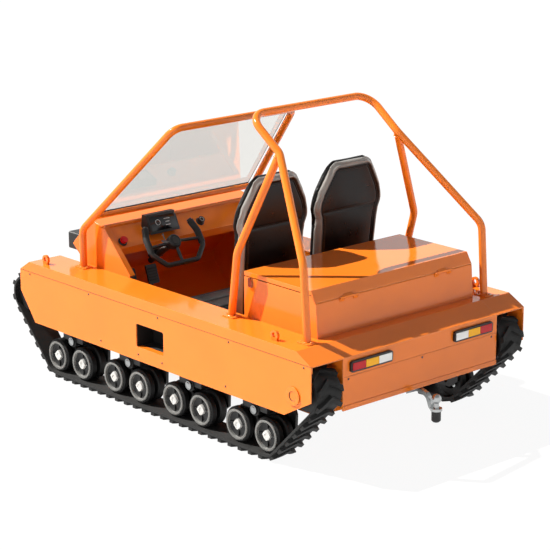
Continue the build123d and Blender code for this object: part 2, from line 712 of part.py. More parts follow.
# Seat backs: distance below the top, edge inside the seat's full width
back_lean = math.radians(BACK_RAKE)
back_foot_z = CUSHION_Z - CUSHION_THICK
back_tall = (BACK_TOP_Z - back_foot_z) / math.cos(back_lean)
back_foot_x = BULKHEAD_X + BACK_GAP + math.sin(back_lean) * back_tall
back_rows = [(back_tall, 45.0), (490.0, 20.0), (260.0, 0.0), (160.0, 10.0), (30.0, 70.0), (0.0, 135.0)]
back_edge = [(SEAT_WIDE / 2 - inset, back_tall - below) for below, inset in back_rows]
back_layers = [(0, BACK_EDGE, 0), (BACK_EDGE, BACK_THICK - BACK_EDGE, BACK_TAPER)]  # offset, thickness, slope
with BuildPart() as seat_backs:
    for side in SIDES:
        back_plane = Plane(
            origin=(back_foot_x, side * SEAT_Y, back_foot_z), x_dir=(0, 1, 0),
            z_dir=(math.cos(back_lean), 0, math.sin(back_lean)))
        for offset, thick, slope in back_layers:
            with BuildSketch(back_plane.offset(offset)):
                Polygon(*back_edge, *[(-y, z) for y, z in reversed(back_edge)], align=None)
            extrude(amount=thick, taper=slope)
save("seat_backs", seat_backs)

seat_rear_x = back_foot_x + BACK_THICK * math.cos(back_lean) + SEAT_GAP
with BuildPart() as seat_cushions:
    for side in SIDES:
        with BuildSketch(Plane.XY.offset(CUSHION_Z - CUSHION_THICK)):
            with Locations(((SEAT_FRONT_X + seat_rear_x) / 2, side * SEAT_Y)):
                RectangleRounded(SEAT_FRONT_X - seat_rear_x, SEAT_WIDE, SEAT_ROUND)
        extrude(amount=CUSHION_THICK)
save("seat_cushions", seat_cushions)

# Steering column and yoke, square to the raked axis
rake = math.radians(STEER_RAKE)
steer_axis = Vector(math.cos(rake), 0, -math.sin(rake))
steer_hub = Vector(STEER_X, SEAT_Y, STEER_Z)
column_plane = Plane(origin=steer_hub + steer_axis * COLUMN_START, z_dir=steer_axis)
with BuildPart() as steering_column:
    with BuildSketch(column_plane):
        Circle(COLUMN_R)
        Circle(SHAFT_R + FIT, mode=Mode.SUBTRACT)
    extrude(amount=COLUMN_END - COLUMN_START)
    bracket_z = STEER_Z - (DASH_LOW_X - STEER_X) * math.tan(rake)
    with BuildSketch(Plane.XY.offset(bracket_z)):
        with Locations((DASH_LOW_X, SEAT_Y)):
            Rectangle(BRACKET_LONG, BRACKET_WIDE)
    extrude(amount=DASH_LOW_Z - DASH_SKIRT - bracket_z)
    with BuildSketch(column_plane):
        Circle(SHAFT_R + FIT)
    extrude(amount=COLUMN_END - COLUMN_START, mode=Mode.SUBTRACT)
save("steering_column", steering_column)

yoke_plane = Plane(origin=steer_hub, x_dir=(0, -1, 0), z_dir=steer_axis * -1)
grip_y = YOKE_WIDE - YOKE_R
yoke_half = [YOKE_HORN, (grip_y, YOKE_GRIP_HIGH), (grip_y, YOKE_GRIP_LOW), YOKE_FOOT]
yoke_path = yoke_half + [(-y, z) for y, z in reversed(yoke_half)]
spoke_ends = [(grip_y, SPOKE_DROP), (-grip_y, SPOKE_DROP), (0.0, YOKE_FOOT[1])]
with BuildPart() as steering_yoke:
    with BuildSketch(yoke_plane):
        Circle(YOKE_HUB_R)
    extrude(amount=-YOKE_HUB_DEEP)
    with BuildSketch(yoke_plane):
        Circle(SHAFT_R)
    extrude(amount=-(COLUMN_START + SHAFT_IN))
    with BuildLine() as yoke_line:
        bent_line([yoke_plane.from_local_coords((y, z, 0)) for y, z in yoke_path], [YOKE_BEND] * 6)
    with BuildSketch(Plane(origin=yoke_line.line @ 0, z_dir=yoke_line.line % 0)):
        Circle(YOKE_R)
    sweep(path=yoke_line.line)
    for y, z in spoke_ends:
        spoke_end = yoke_plane.from_local_coords((y, z, 0))
        with BuildSketch(Plane(origin=steer_hub, z_dir=spoke_end - steer_hub)):
            Circle(SPOKE_R)
        extrude(amount=(spoke_end - steer_hub).length)
save("steering_yoke", steering_yoke)

# Dash fittings: display, knob and stop button on the sloped face
dash_rise = math.atan2(DASH_HIGH_Z - DASH_LOW_Z, DASH_HIGH_X - DASH_LOW_X)
dash_normal = Vector(-math.sin(dash_rise), 0, math.cos(dash_rise))


def on_dash(along, y):
    """Plane on the dash face, this far up the slope."""
    place = Vector(DASH_LOW_X, y, DASH_LOW_Z) + Vector(math.cos(dash_rise), 0, math.sin(dash_rise)) * along
    return Plane(origin=place, x_dir=(0, 1, 0), z_dir=dash_normal)


def dash_x(z):
    """Place on the dash face at this height."""
    return DASH_LOW_X + (z - DASH_LOW_Z) / math.tan(dash_rise)


display_seat_z = DISPLAY_LOW_Z + DISPLAY_FOOT
display_top_x = DISPLAY_X + DISPLAY_LEAN
with BuildPart() as display_unit:
    with BuildSketch(across(DISPLAY_Y + DISPLAY_WIDE / 2)):
        Polygon(
            (DISPLAY_X, DISPLAY_LOW_Z), (display_top_x, DISPLAY_HIGH_Z),
            (display_top_x + DISPLAY_DEEP, DISPLAY_HIGH_Z),
            (dash_x(display_seat_z), display_seat_z), (dash_x(DISPLAY_LOW_Z), DISPLAY_LOW_Z), align=None)
    extrude(amount=DISPLAY_WIDE)
save("display_unit", display_unit)

with BuildPart() as dash_knob:
    with BuildSketch(on_dash(KNOB_UP, KNOB_Y)):
        Circle(KNOB_R)
    extrude(amount=KNOB_DEEP)
save("dash_knob", dash_knob)

with BuildPart() as stop_button:
    with BuildSketch(on_dash(STOP_UP, STOP_Y)):
        Circle(STOP_STEM_R)
    extrude(amount=STOP_DEEP)
    with BuildSketch(on_dash(STOP_UP, STOP_Y).offset(STOP_DEEP)):
        Circle(STOP_R)
    extrude(amount=STOP_DEEP)
save("stop_button", stop_button)

# Pedals on posts from the floor
pad_lean = math.radians(PAD_LEAN)
with BuildPart() as pedals:
    for offset_y in PEDAL_OFFSETS:
        pedal_y = SEAT_Y + offset_y
        with BuildSketch(Plane.XY.offset(FLOOR_Z)):
            with Locations((PEDAL_X, pedal_y)):
                Rectangle(PEDAL_POST_LONG, PEDAL_POST_WIDE)
        extrude(amount=PEDAL_POST_TALL)
        pad_middle = (PEDAL_X - PEDAL_POST_LONG / 2, pedal_y, FLOOR_Z + PEDAL_POST_TALL - PAD_DROP)
        with BuildSketch(Plane(
                origin=pad_middle, x_dir=(0, 1, 0), z_dir=(-math.cos(pad_lean), 0, math.sin(pad_lean)))):
            RectangleRounded(PAD_WIDE, PAD_TALL, PAD_ROUND)
        extrude(amount=PAD_THICK)
save("pedals", pedals)

# Headlamps on the nose
with BuildPart() as headlamps:
    for side in SIDES:
        with BuildSketch(Plane.YZ.offset(COWL_NOSE_X - HEADLAMP_BACK)):
            with Locations((side * (TUB_Y - HEADLAMP_IN), COWL_NOSE_Z + HEADLAMP_RISE)):
                RectangleRounded(HEADLAMP_WIDE, HEADLAMP_TALL, HEADLAMP_ROUND)
        extrude(amount=HEADLAMP_DEEP)
    with BuildSketch(across(TUB_Y)):
        Polygon(*cowl_side, align=None)
    extrude(amount=2 * TUB_Y, mode=Mode.SUBTRACT)
save("headlamps", headlamps)

# Tail lamps: housings, then lenses as name, distance from the middle at each end
with BuildPart() as tail_lamps:
    for side in SIDES:
        with BuildSketch(Plane.YZ.offset(PANEL_X)):
            with Locations((side * LAMP_Y, LAMP_Z)):
                RectangleRounded(LAMP_LONG, LAMP_TALL, LAMP_ROUND)
        extrude(amount=-LAMP_DEEP)
save("tail_lamps", tail_lamps)

lens_start = LAMP_Y - LAMP_LONG / 2 + LENS_EDGE
lens_third = (LAMP_LONG - 2 * LENS_EDGE) / 3
lens_rows = [("lens_white", 0), ("lens_amber", 1), ("lens_red", 2)]
for name, place in lens_rows:
    with BuildPart() as lens:
        for side in SIDES:
            with BuildSketch(Plane.YZ.offset(PANEL_X - LAMP_DEEP)):
                with Locations((side * (lens_start + (place + 0.5) * lens_third), LAMP_Z)):
                    Rectangle(lens_third - LENS_SPLIT, LAMP_TALL - 2 * LENS_EDGE)
            extrude(amount=-LENS_PROUD)
    save(name, lens)

# Tow hitch: bent neck with its collar, the ball and the cap below
ramp = Vector(BELLY_REAR_X - TUB_REAR_X, 0, BELLY_Z - STERN_LOW_Z).normalized()
ramp_out = Vector(ramp.Z, 0, -ramp.X)
neck_points = [
    Vector(TUB_REAR_X, 0, STERN_LOW_Z) + ramp * along + ramp_out * (NECK_SIDE / 2) for along in NECK_ON_HULL]
collar_mid_z = (COLLAR_LOW_Z + COLLAR_HIGH_Z) / 2
neck_points += [Vector(NECK_BEND[0], 0, NECK_BEND[1])]
neck_points += [Vector(HITCH_X + NECK_TOE_IN, 0, collar_mid_z), Vector(HITCH_X, 0, collar_mid_z)]
with BuildPart() as tow_neck:
    with BuildLine() as neck_line:
        bent_line([tuple(p) for p in neck_points], [NECK_BEND_R] * 2 + [NECK_TOE_R])
    with BuildSketch(Plane(origin=neck_line.line @ 0, x_dir=(0, 1, 0), z_dir=neck_line.line % 0)):
        Rectangle(NECK_SIDE, NECK_SIDE)
    sweep(path=neck_line.line)
    with BuildSketch(Plane.XY.offset(COLLAR_LOW_Z)):
        with Locations((HITCH_X, 0)):
            Circle(COLLAR_R)
    extrude(amount=COLLAR_HIGH_Z - COLLAR_LOW_Z)
    with BuildSketch(Plane.XY.offset(COLLAR_HIGH_Z)):
        with Locations((HITCH_X, 0)):
            Circle(COLLAR_R)
    extrude(amount=COLLAR_CLEAR, mode=Mode.SUBTRACT)
    with BuildSketch(Plane.XY.offset(COLLAR_LOW_Z - COLLAR_CLEAR)):
        with Locations((HITCH_X, 0)):
            Circle(COLLAR_R)
    extrude(amount=COLLAR_CLEAR, mode=Mode.SUBTRACT)
save("tow_neck", tow_neck)

with BuildPart() as tow_ball:
    with BuildSketch(Plane.XY.offset(COLLAR_HIGH_Z)):
        with Locations((HITCH_X, 0)):
            Circle(SHANK_R)
    extrude(amount=BALL_Z - COLLAR_HIGH_Z)
    with Locations((HITCH_X, 0, BALL_Z)):
        Sphere(BALL_R)
save("tow_ball", tow_ball)

with BuildPart() as hitch_cap:
    with BuildSketch(Plane.XY.offset(HITCH_CAP_LOW_Z)):
        with Locations((HITCH_X, 0)):
            Circle(HITCH_CAP_R)
    extrude(amount=COLLAR_LOW_Z - HITCH_CAP_LOW_Z)
    chamfer(hitch_cap.edges().group_by(Axis.Z)[0], HITCH_CAP_EDGE)
save("hitch_cap", hitch_cap)

# Lifting eyes on the deck corners
with BuildPart() as lifting_eyes:
    for x in (EYE_FRONT_X, EYE_REAR_X):
        for side in SIDES:
            plane, thick = span(side, HULL_Y + EYE_OUT - EYE_THICK / 2, HULL_Y + EYE_OUT + EYE_THICK / 2)
            with BuildSketch(plane):
                with Locations((x, DECK_Z + EYE_R)):
                    Circle(EYE_R)
                with Locations((x, DECK_Z + EYE_R / 2)):
                    Rectangle(EYE_FOOT, EYE_R)
                with Locations((x, DECK_Z + EYE_HOLE_RISE)):
                    Circle(EYE_HOLE_R, mode=Mode.SUBTRACT)
            extrude(amount=thick)
save("lifting_eyes", lifting_eyes)

# Tracks: x, z and radius of each wheel that turns the belt, from the front road wheel upwards
loop_rows = [
    (WHEEL_X[0], WHEEL_Z, WHEEL_R),
    (*IDLER, END_R),
    (*SPROCKET, END_R),
    (WHEEL_X[-1], WHEEL_Z, WHEEL_R),
]


def loop_outline(grow):
    """Outline of the belt's loop, this far outside the wheels."""
    for x, z, r in loop_rows:
        with Locations((x, z)):
            Circle(r + grow)
    make_hull()


def belt_places(pitch):
    """Evenly spaced planes on the belt's outside that face out, with x towards a lug's apex."""
    hops = list(zip(loop_rows, loop_rows[1:] + loop_rows[:1]))
    headings = []
    for (xa, za, ra), (xb, zb, rb) in hops:
        apart = math.hypot(xb - xa, zb - za)
        headings.append(math.atan2(zb - za, xb - xa) + math.asin((ra - rb) / apart))
    stretches = []
    for i, ((xa, za, ra), (xb, zb, rb)) in enumerate(hops):
        run = math.sqrt((xb - xa) ** 2 + (zb - za) ** 2 - (ra - rb) ** 2)
        turn = (headings[(i + 1) % len(hops)] - headings[i]) % (2 * math.pi)
        stretches.append((xa, za, ra + BELT, headings[i], run, 0.0))
        stretches.append((xb, zb, rb + BELT, headings[i], turn * (rb + BELT), turn))
    total = sum(stretch[4] for stretch in stretches)
    count = round(total / pitch)
    places = []
    for k in range(count):
        ahead = total * (k + 0.5) / count
        for x, z, radius, heading, length, turn in stretches:
            if ahead < length:
                break
            ahead -= length
        angle = heading + turn * ahead / length
        out = Vector(math.sin(angle), 0, -math.cos(angle))
        along = Vector(math.cos(angle), 0, math.sin(angle))
        place = Vector(x, TRACK_MID_Y, z) + out * radius + along * (0.0 if turn else ahead)
        places.append(Location(Plane(origin=place, x_dir=along * -1, z_dir=out)))
    return places


lug_end_y = TRACK_WIDE / 2 - LUG_EDGE
lug_front = [(-LUG_SWEEP / 2, -lug_end_y), (LUG_SWEEP / 2, 0.0), (-LUG_SWEEP / 2, lug_end_y)]
with BuildPart() as lug:
    with BuildSketch(Plane.XY.offset(-LUG_ROOT)):
        Polygon(
            *[(x + LUG_LONG / 2, y) for x, y in lug_front],
            *[(x - LUG_LONG / 2, y) for x, y in reversed(lug_front)], align=None)
    extrude(amount=LUG_ROOT + LUG + LUG_SPARE)

track_plane, track_thick = span(1, TRACK_Y_IN, TRACK_Y_OUT)
with BuildPart() as track_left:
    with Locations(*belt_places(LUG_PITCH)):
        add(lug.part)
    with BuildSketch(track_plane):
        loop_outline(BELT + LUG)
    extrude(amount=track_thick, mode=Mode.INTERSECT)
    with BuildSketch(track_plane):
        loop_outline(BELT)
    extrude(amount=track_thick)
    with BuildSketch(track_plane):
        loop_outline(0.0)
    extrude(amount=track_thick, mode=Mode.SUBTRACT)
save("track_left", track_left)

with BuildPart() as track_right:
    mirror(track_left.part, about=Plane.XZ)
save("track_right", track_right)

# Road wheels: nearest and furthest from the middle of the vehicle, radius, how it joins
wheel_in_y = TRACK_Y_IN + WHEEL_IN
wheel_face_y = TRACK_Y_OUT - WHEEL_OUT
beam_in_y = TRACK_Y_IN + BEAM_IN
beam_out_y = beam_in_y + BEAM_THICK
dish_y = wheel_face_y - DISH_DEEP
wheel_rows = [
    (wheel_in_y, wheel_face_y - RIM_PROUD, WHEEL_R, Mode.ADD),
    (wheel_face_y - RIM_PROUD, wheel_face_y, WHEEL_R - TYRE, Mode.ADD),
    (dish_y, wheel_face_y, DISH_R, Mode.SUBTRACT),
    (beam_in_y, wheel_in_y, AXLE_R, Mode.ADD),
]
with BuildPart() as road_wheels:
    for side in SIDES:
        for low, high, radius, mode in wheel_rows:
            plane, thick = span(side, low, high)
            with BuildSketch(plane):
                for x in WHEEL_X:
                    with Locations((x, WHEEL_Z)):
                        Circle(radius)
            extrude(amount=thick, mode=mode)
        plane, thick = span(side, dish_y, wheel_face_y - HUB_BACK)
        with BuildSketch(plane):
            for x in WHEEL_X:
                with Locations((x, WHEEL_Z)):
                    Rectangle(HUB_WIDE, HUB_WIDE, rotation=45)
        extrude(amount=thick)
save("road_wheels", road_wheels)

# Bogies: a plate with the axles in it and a block on the pivot
# Plate: height from the pivot, half length
beam_rows = [(74.0, 170.0), (0.0, 200.0), (-90.0, 196.0), (-132.0, 140.0)]
block_low_z = WHEEL_Z + WHEEL_R + BLOCK_CLEAR
with BuildPart() as bogie_beams:
    for side in SIDES:
        plane, thick = span(side, beam_in_y, beam_out_y)
        with BuildSketch(plane):
            for bx in BOGIE_X:
                Polygon(
                    *[(bx + w, PIVOT_Z + h) for h, w in beam_rows],
                    *[(bx - w, PIVOT_Z + h) for h, w in reversed(beam_rows)], align=None)
        extrude(amount=thick)
        plane, thick = span(side, beam_out_y, beam_out_y + BLOCK_DEEP)
        with BuildSketch(plane):
            for bx in BOGIE_X:
                with Locations((bx, (block_low_z + BLOCK_TOP_Z) / 2)):
                    Rectangle(2 * BLOCK_HALF, BLOCK_TOP_Z - block_low_z)
        extrude(amount=thick)
        plane, thick = span(side, beam_out_y, beam_out_y + PIVOT_HUB_DEEP)
        with BuildSketch(plane):
            for bx in BOGIE_X:
                with Locations((bx, PIVOT_Z)):
                    Circle(PIVOT_HUB_R)
        extrude(amount=thick)
        plane, thick = span(side, beam_in_y, beam_out_y + PIVOT_HUB_DEEP)
        with BuildSketch(plane):
            for bx in BOGIE_X:
                with Locations((bx, PIVOT_Z)):
                    Circle(PIVOT_R)
        extrude(amount=thick, mode=Mode.SUBTRACT)
        plane, thick = span(side, beam_in_y, beam_out_y)
        with BuildSketch(plane):
            for x in WHEEL_X:
                with Locations((x, WHEEL_Z)):
                    Circle(AXLE_R)
        extrude(amount=thick, mode=Mode.SUBTRACT)
save("bogie_beams", bogie_beams)

# Bogie pivots: shafts from the side rails with caps outside
rail_out_y = HULL_Y + RAIL_THICK
pivot_out_y = beam_out_y + PIVOT_HUB_DEEP
with BuildPart() as bogie_pivots:
    for side in SIDES:
        for low, high, r in (
                (rail_out_y, pivot_out_y, PIVOT_R), (pivot_out_y, pivot_out_y + PIVOT_CAP_DEEP, PIVOT_CAP_R)):
            plane, thick = span(side, low, high)
            with BuildSketch(plane):
                for bx in BOGIE_X:
                    with Locations((bx, PIVOT_Z)):
                        Circle(r)
            extrude(amount=thick)
save("bogie_pivots", bogie_pivots)

# Side rails on the hull that carry the bogies, and the arms of the front idlers
with BuildPart() as side_rails:
    for side in SIDES:
        plane, thick = span(side, HULL_Y, rail_out_y)
        with BuildSketch(plane):
            with Locations((BOGIE_MID_X, (RAIL_LOW_Z + RAIL_HIGH_Z) / 2)):
                Rectangle(BOGIE_PITCH * (BOGIES - 1) + 2 * RAIL_OVER, RAIL_HIGH_Z - RAIL_LOW_Z)
        extrude(amount=thick)
        with BuildSketch(plane):
            with Locations(ARM_ROOT):
                Circle(ARM_ROOT_R)
            with Locations(IDLER):
                Circle(ARM_TIP_R)
            make_hull()
        extrude(amount=thick)
save("side_rails", side_rails)

# End wheels: front idlers on their arms and rear sprockets on the hull
end_rows = [(IDLER, rail_out_y), (SPROCKET, HULL_Y)]
with BuildPart() as end_wheels:
    for side in SIDES:
        for place, root_y in end_rows:
            plane, thick = span(side, TRACK_Y_IN + END_EDGE, TRACK_Y_OUT - END_EDGE)
            with BuildSketch(plane):
                with Locations(place):
                    Circle(END_R)
            extrude(amount=thick)
            plane, thick = span(side, root_y, TRACK_Y_IN + END_EDGE)
            with BuildSketch(plane):
                with Locations(place):
                    Circle(END_AXLE_R)
            extrude(amount=thick)
save("end_wheels", end_wheels)
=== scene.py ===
"""Looks of the tracked all-terrain vehicle: finishes, seats, wheels, fasteners and the studio."""

import json
import math

import bmesh
import bpy
import numpy as np
from bpy.props import FloatProperty, FloatVectorProperty, PointerProperty
from mathutils import Matrix, Quaternion, Vector
from mathutils.bvhtree import BVHTree


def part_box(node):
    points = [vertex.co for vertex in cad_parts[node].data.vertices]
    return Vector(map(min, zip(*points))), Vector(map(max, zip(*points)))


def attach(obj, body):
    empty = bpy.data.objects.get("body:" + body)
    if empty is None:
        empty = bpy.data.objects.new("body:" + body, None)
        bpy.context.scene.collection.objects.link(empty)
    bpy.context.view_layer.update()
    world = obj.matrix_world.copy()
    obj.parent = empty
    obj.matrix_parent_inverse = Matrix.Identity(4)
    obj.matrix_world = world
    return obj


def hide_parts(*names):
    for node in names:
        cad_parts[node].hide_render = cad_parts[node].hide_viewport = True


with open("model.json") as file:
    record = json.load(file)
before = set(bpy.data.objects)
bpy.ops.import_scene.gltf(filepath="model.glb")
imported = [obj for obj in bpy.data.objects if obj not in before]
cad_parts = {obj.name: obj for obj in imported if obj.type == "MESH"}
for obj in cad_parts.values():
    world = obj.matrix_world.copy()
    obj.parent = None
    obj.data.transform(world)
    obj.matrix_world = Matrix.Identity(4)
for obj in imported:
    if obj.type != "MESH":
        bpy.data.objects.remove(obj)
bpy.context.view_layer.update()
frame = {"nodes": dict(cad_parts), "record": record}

bl_info = {
    "name": "Tracked vehicle looks",
    "version": (1, 0, 0),
    "blender": (4, 5, 0),
    "location": "View3D > Sidebar > Vehicle",
    "description": "Dresses the tracked all-terrain vehicle and sets its studio",
    "category": "Object",
}

MM = 0.001
UP = Vector((0, 0, 1))
LEFT = Vector((0, 1, 0))
AHEAD = Vector((1, 0, 0))
SIDES = (1, -1)


def linear(hex_colour):
    """Turn an sRGB hex value such as "#F08A34" into linear red, green, blue and alpha."""
    channels = [int(hex_colour[i:i + 2], 16) / 255 for i in (1, 3, 5)]
    flat = [c / 12.92 if c <= 0.04045 else ((c + 0.055) / 1.055) ** 2.4 for c in channels]
    return (*flat, 1.0)


def per_metre(size_mm):
    """Texture scale that gives one feature for each size in millimetres."""
    return 1000.0 / size_mm


def node(tree, kind, inputs=None, **settings):
    """Add one node with its settings; an input is a value, or an output socket to link from."""
    made = tree.nodes.new(kind)
    for name, value in settings.items():
        setattr(made, name, value)
    for name, value in (inputs or {}).items():
        socket = made.inputs[name]
        if isinstance(value, bpy.types.NodeSocket):
            tree.links.new(value, socket)
        else:
            socket.default_value = value
    return made


class FinishSettings(bpy.types.PropertyGroup):
    """Colours that a repaint or another trim would change."""

    paint: FloatVectorProperty(
        name="Body paint", description="Enamel on hull, skirts, box and tubes",
        subtype="COLOR", size=4, min=0, max=1, default=linear("#EC7A20"))
    wheel_grey: FloatVectorProperty(
        name="Wheel grey", description="Paint on the road wheels' rims",
        subtype="COLOR", size=4, min=0, max=1, default=linear("#6C6C6A"))
    vinyl: FloatVectorProperty(
        name="Seat vinyl", description="Coated cloth on the seats",
        subtype="COLOR", size=4, min=0, max=1, default=linear("#080707"))
    rubber: FloatVectorProperty(
        name="Track rubber", description="Moulded rubber of the tracks, grips and seals",
        subtype="COLOR", size=4, min=0, max=1, default=linear("#171717"))


class SeatSettings(bpy.types.PropertyGroup):
    """Sizes of the seat covers."""

    voxel: FloatProperty(
        name="Cover grain", description="Spacing of the points that the cover is sewn from",
        unit="LENGTH", default=0.006)
    pressure: FloatProperty(
        name="Foam pressure", description="Push of the foam on the cover while it swells", default=4.0)
    swell: FloatProperty(
        name="Swell", description="Furthest that the foam may push the cover out",
        unit="LENGTH", default=0.012)
    border: FloatProperty(
        name="Border", description="Width of the rear bolster between edge and panel seam",
        unit="LENGTH", default=0.046)
    piping: FloatProperty(
        name="Piping", description="Radius of the piping cord in the seams",
        unit="LENGTH", default=0.0032)
    stitch_pitch: FloatProperty(
        name="Stitch pitch", description="Distance from one stitch to the next",
        unit="LENGTH", default=0.009)


class StageSettings(bpy.types.PropertyGroup):
    """Light and camera of the studio."""

    sun: FloatProperty(name="Key light", description="Strength of the key light", default=7.9)
    fill: FloatProperty(
        name="Side fill", description="Power of the soft light on the left", unit="POWER", default=20.0)
    ambient: FloatProperty(
        name="Ambient", description="Level of the light from all round", default=0.29)
    overhead: FloatProperty(
        name="Overhead", description="Level of the background straight above", default=0.35)
    lens: FloatProperty(
        name="Lens", description="Focal length on a 36 mm frame", default=131.28)
    shadow: FloatProperty(
        name="Floor shadow", description="Share of the floor's shadow that shows",
        subtype="FACTOR", default=0.07)


def settings():
    """The three groups of settings on the scene."""
    scene = bpy.context.scene
    return scene.vehicle_finish, scene.vehicle_seats, scene.vehicle_stage


# Finishes


def new_finish(name):
    """A material with an empty node tree, and that tree."""
    material = bpy.data.materials.new(name)
    material.use_nodes = True
    material.node_tree.nodes.clear()
    return material, material.node_tree


def set_tones(ramp, colour, low, high, ends=(0.3, 0.7)):
    """Let a colour ramp run between two shares of one colour."""
    for stop, position, share in zip(ramp.color_ramp.elements, ends, (low, high)):
        stop.position = position
        stop.color = [min(1.0, c * share) for c in colour[:3]] + [1]


def orange_enamel(name, folded):
    """Gloss two-pack enamel: even colour and a faint orange-peel ripple, with sharp reflections that soften
    where dust lies. Folded sheet also has soft edges painted paler, partly as rubbed wear and partly as a
    painted highlight; round tube has no such edges."""
    material, tree = new_finish(name)
    place = node(tree, "ShaderNodeTexCoord").outputs["Object"]
    drift = node(tree, "ShaderNodeTexNoise", {"Vector": place, "Scale": per_metre(350), "Detail": 3.0})
    shade = node(tree, "ShaderNodeValToRGB", {"Fac": drift.outputs["Fac"]})
    set_tones(shade, settings()[0].paint, 0.93, 1.0)
    coat = shade.outputs["Color"]
    # The real ripple is about 1.5 mm; it is drawn at 5 mm so that it shows in the render
    peel = node(tree, "ShaderNodeTexNoise", {"Vector": place, "Scale": per_metre(5), "Detail": 1.0})
    bump = node(tree, "ShaderNodeBump", {
        "Height": peel.outputs["Fac"], "Strength": 0.04, "Distance": 0.3 * MM})
    if folded:
        bevel = node(tree, "ShaderNodeBevel", {"Radius": 2.5 * MM}, samples=4)
        flat = node(tree, "ShaderNodeNewGeometry").outputs["Normal"]
        agree = node(tree, "ShaderNodeVectorMath", {0: bevel.outputs["Normal"], 1: flat},
                     operation="DOT_PRODUCT")
        edge = node(tree, "ShaderNodeMapRange", {
            "Value": agree.outputs["Value"], "From Min": 0.97, "From Max": 0.80,
            "To Min": 0.0, "To Max": 0.35})
        # Paler edges: partly rubbed wear, partly a painted highlight on the rounded edges
        rubbed_and_highlit = node(tree, "ShaderNodeMix", {
            "Factor": edge.outputs["Result"], "A": coat, "B": linear("#FFC88E")}, data_type="RGBA")
        coat = rubbed_and_highlit.outputs["Result"]
        tree.links.new(bevel.outputs["Normal"], bump.inputs["Normal"])
    dust = node(tree, "ShaderNodeTexNoise", {"Vector": place, "Scale": per_metre(60), "Detail": 5.0})
    gloss = node(tree, "ShaderNodeMapRange", {
        "Value": dust.outputs["Fac"], "From Min": 0.3, "From Max": 0.75, "To Min": 0.08, "To Max": 0.17})
    paint = node(tree, "ShaderNodeBsdfPrincipled", {
        "Base Color": coat, "Roughness": gloss.outputs["Result"], "Normal": bump.outputs["Normal"],
        "IOR": 1.5})
    node(tree, "ShaderNodeOutputMaterial", {"Surface": paint.outputs["BSDF"]})
    return material


def plain_finish(name, colour, low_gloss, high_gloss, grit_mm, bump, **shader):
    """A finish with one colour that clouds a little, a grit of the given size and uneven gloss.
    The gloss is the least and most roughness; the names that are left are the shader's own sockets."""
    material, tree = new_finish(name)
    place = node(tree, "ShaderNodeTexCoord").outputs["Object"]
    cloud = node(tree, "ShaderNodeTexNoise", {
        "Vector": place, "Scale": per_metre(grit_mm * 25), "Detail": 4.0})
    shade = node(tree, "ShaderNodeValToRGB", {"Fac": cloud.outputs["Fac"]})
    set_tones(shade, colour, 0.82, 1.12)
    gloss = node(tree, "ShaderNodeMapRange", {
        "Value": cloud.outputs["Fac"], "From Min": 0.3, "From Max": 0.7,
        "To Min": low_gloss, "To Max": high_gloss})
    grit = node(tree, "ShaderNodeTexNoise", {"Vector": place, "Scale": per_metre(grit_mm), "Detail": 2.0})
    rough = node(tree, "ShaderNodeBump", {
        "Height": grit.outputs["Fac"], "Strength": bump, "Distance": grit_mm * 0.2 * MM})
    face = node(tree, "ShaderNodeBsdfPrincipled", {
        "Base Color": shade.outputs["Color"], "Roughness": gloss.outputs["Result"],
        "Normal": rough.outputs["Normal"]})
    for socket, value in shader.items():
        face.inputs[socket.replace("_", " ").title().replace("Ior", "IOR")].default_value = value
    node(tree, "ShaderNodeOutputMaterial", {"Surface": face.outputs["BSDF"]})
    return material


def vinyl_cloth():
    """Coated vinyl cloth, embossed like leather: small irregular cells, soft shine on the raised grain."""
    material, tree = new_finish("embossed_vinyl_black")
    place = node(tree, "ShaderNodeTexCoord").outputs["Object"]
    # Real grain is about 1 mm; it is drawn at 3 mm so that it shows in the render
    cells = node(tree, "ShaderNodeTexVoronoi", {"Vector": place, "Scale": per_metre(3.0)},
                 feature="DISTANCE_TO_EDGE")
    crease = node(tree, "ShaderNodeMapRange", {
        "Value": cells.outputs["Distance"], "From Min": 0.0, "From Max": 0.12, "To Min": 0.0, "To Max": 1.0})
    grain = node(tree, "ShaderNodeBump", {
        "Height": crease.outputs["Result"], "Strength": 0.12, "Distance": 0.25 * MM})
    wear = node(tree, "ShaderNodeTexNoise", {"Vector": place, "Scale": per_metre(45), "Detail": 4.0})
    gloss = node(tree, "ShaderNodeMapRange", {
        "Value": wear.outputs["Fac"], "From Min": 0.3, "From Max": 0.7, "To Min": 0.27, "To Max": 0.40})
    shade = node(tree, "ShaderNodeValToRGB", {"Fac": wear.outputs["Fac"]})
    set_tones(shade, settings()[0].vinyl, 0.7, 1.3, ends=(0.0, 1.0))
    # The rear shells' rims are black vinyl over a moulding; their light grey colour is a painted sheen that
    # stands for the bright reflection on them, and they get a clear coat
    rim = node(tree, "ShaderNodeAttribute", attribute_name="rim").outputs["Fac"]
    trim = node(tree, "ShaderNodeMix", {
        "Factor": rim, "A": shade.outputs["Color"], "B": linear("#85837F")}, data_type="RGBA")
    polish = node(tree, "ShaderNodeMapRange", {"Value": rim, "To Min": 0.0, "To Max": 0.9})
    face = node(tree, "ShaderNodeBsdfPrincipled", {
        "Base Color": trim.outputs["Result"], "Roughness": gloss.outputs["Result"],
        "Normal": grain.outputs["Normal"], "IOR": 1.5, "Specular IOR Level": 0.3,
        "Coat Weight": polish.outputs["Result"], "Coat Roughness": 0.12})
    node(tree, "ShaderNodeOutputMaterial", {"Surface": face.outputs["BSDF"]})
    return material


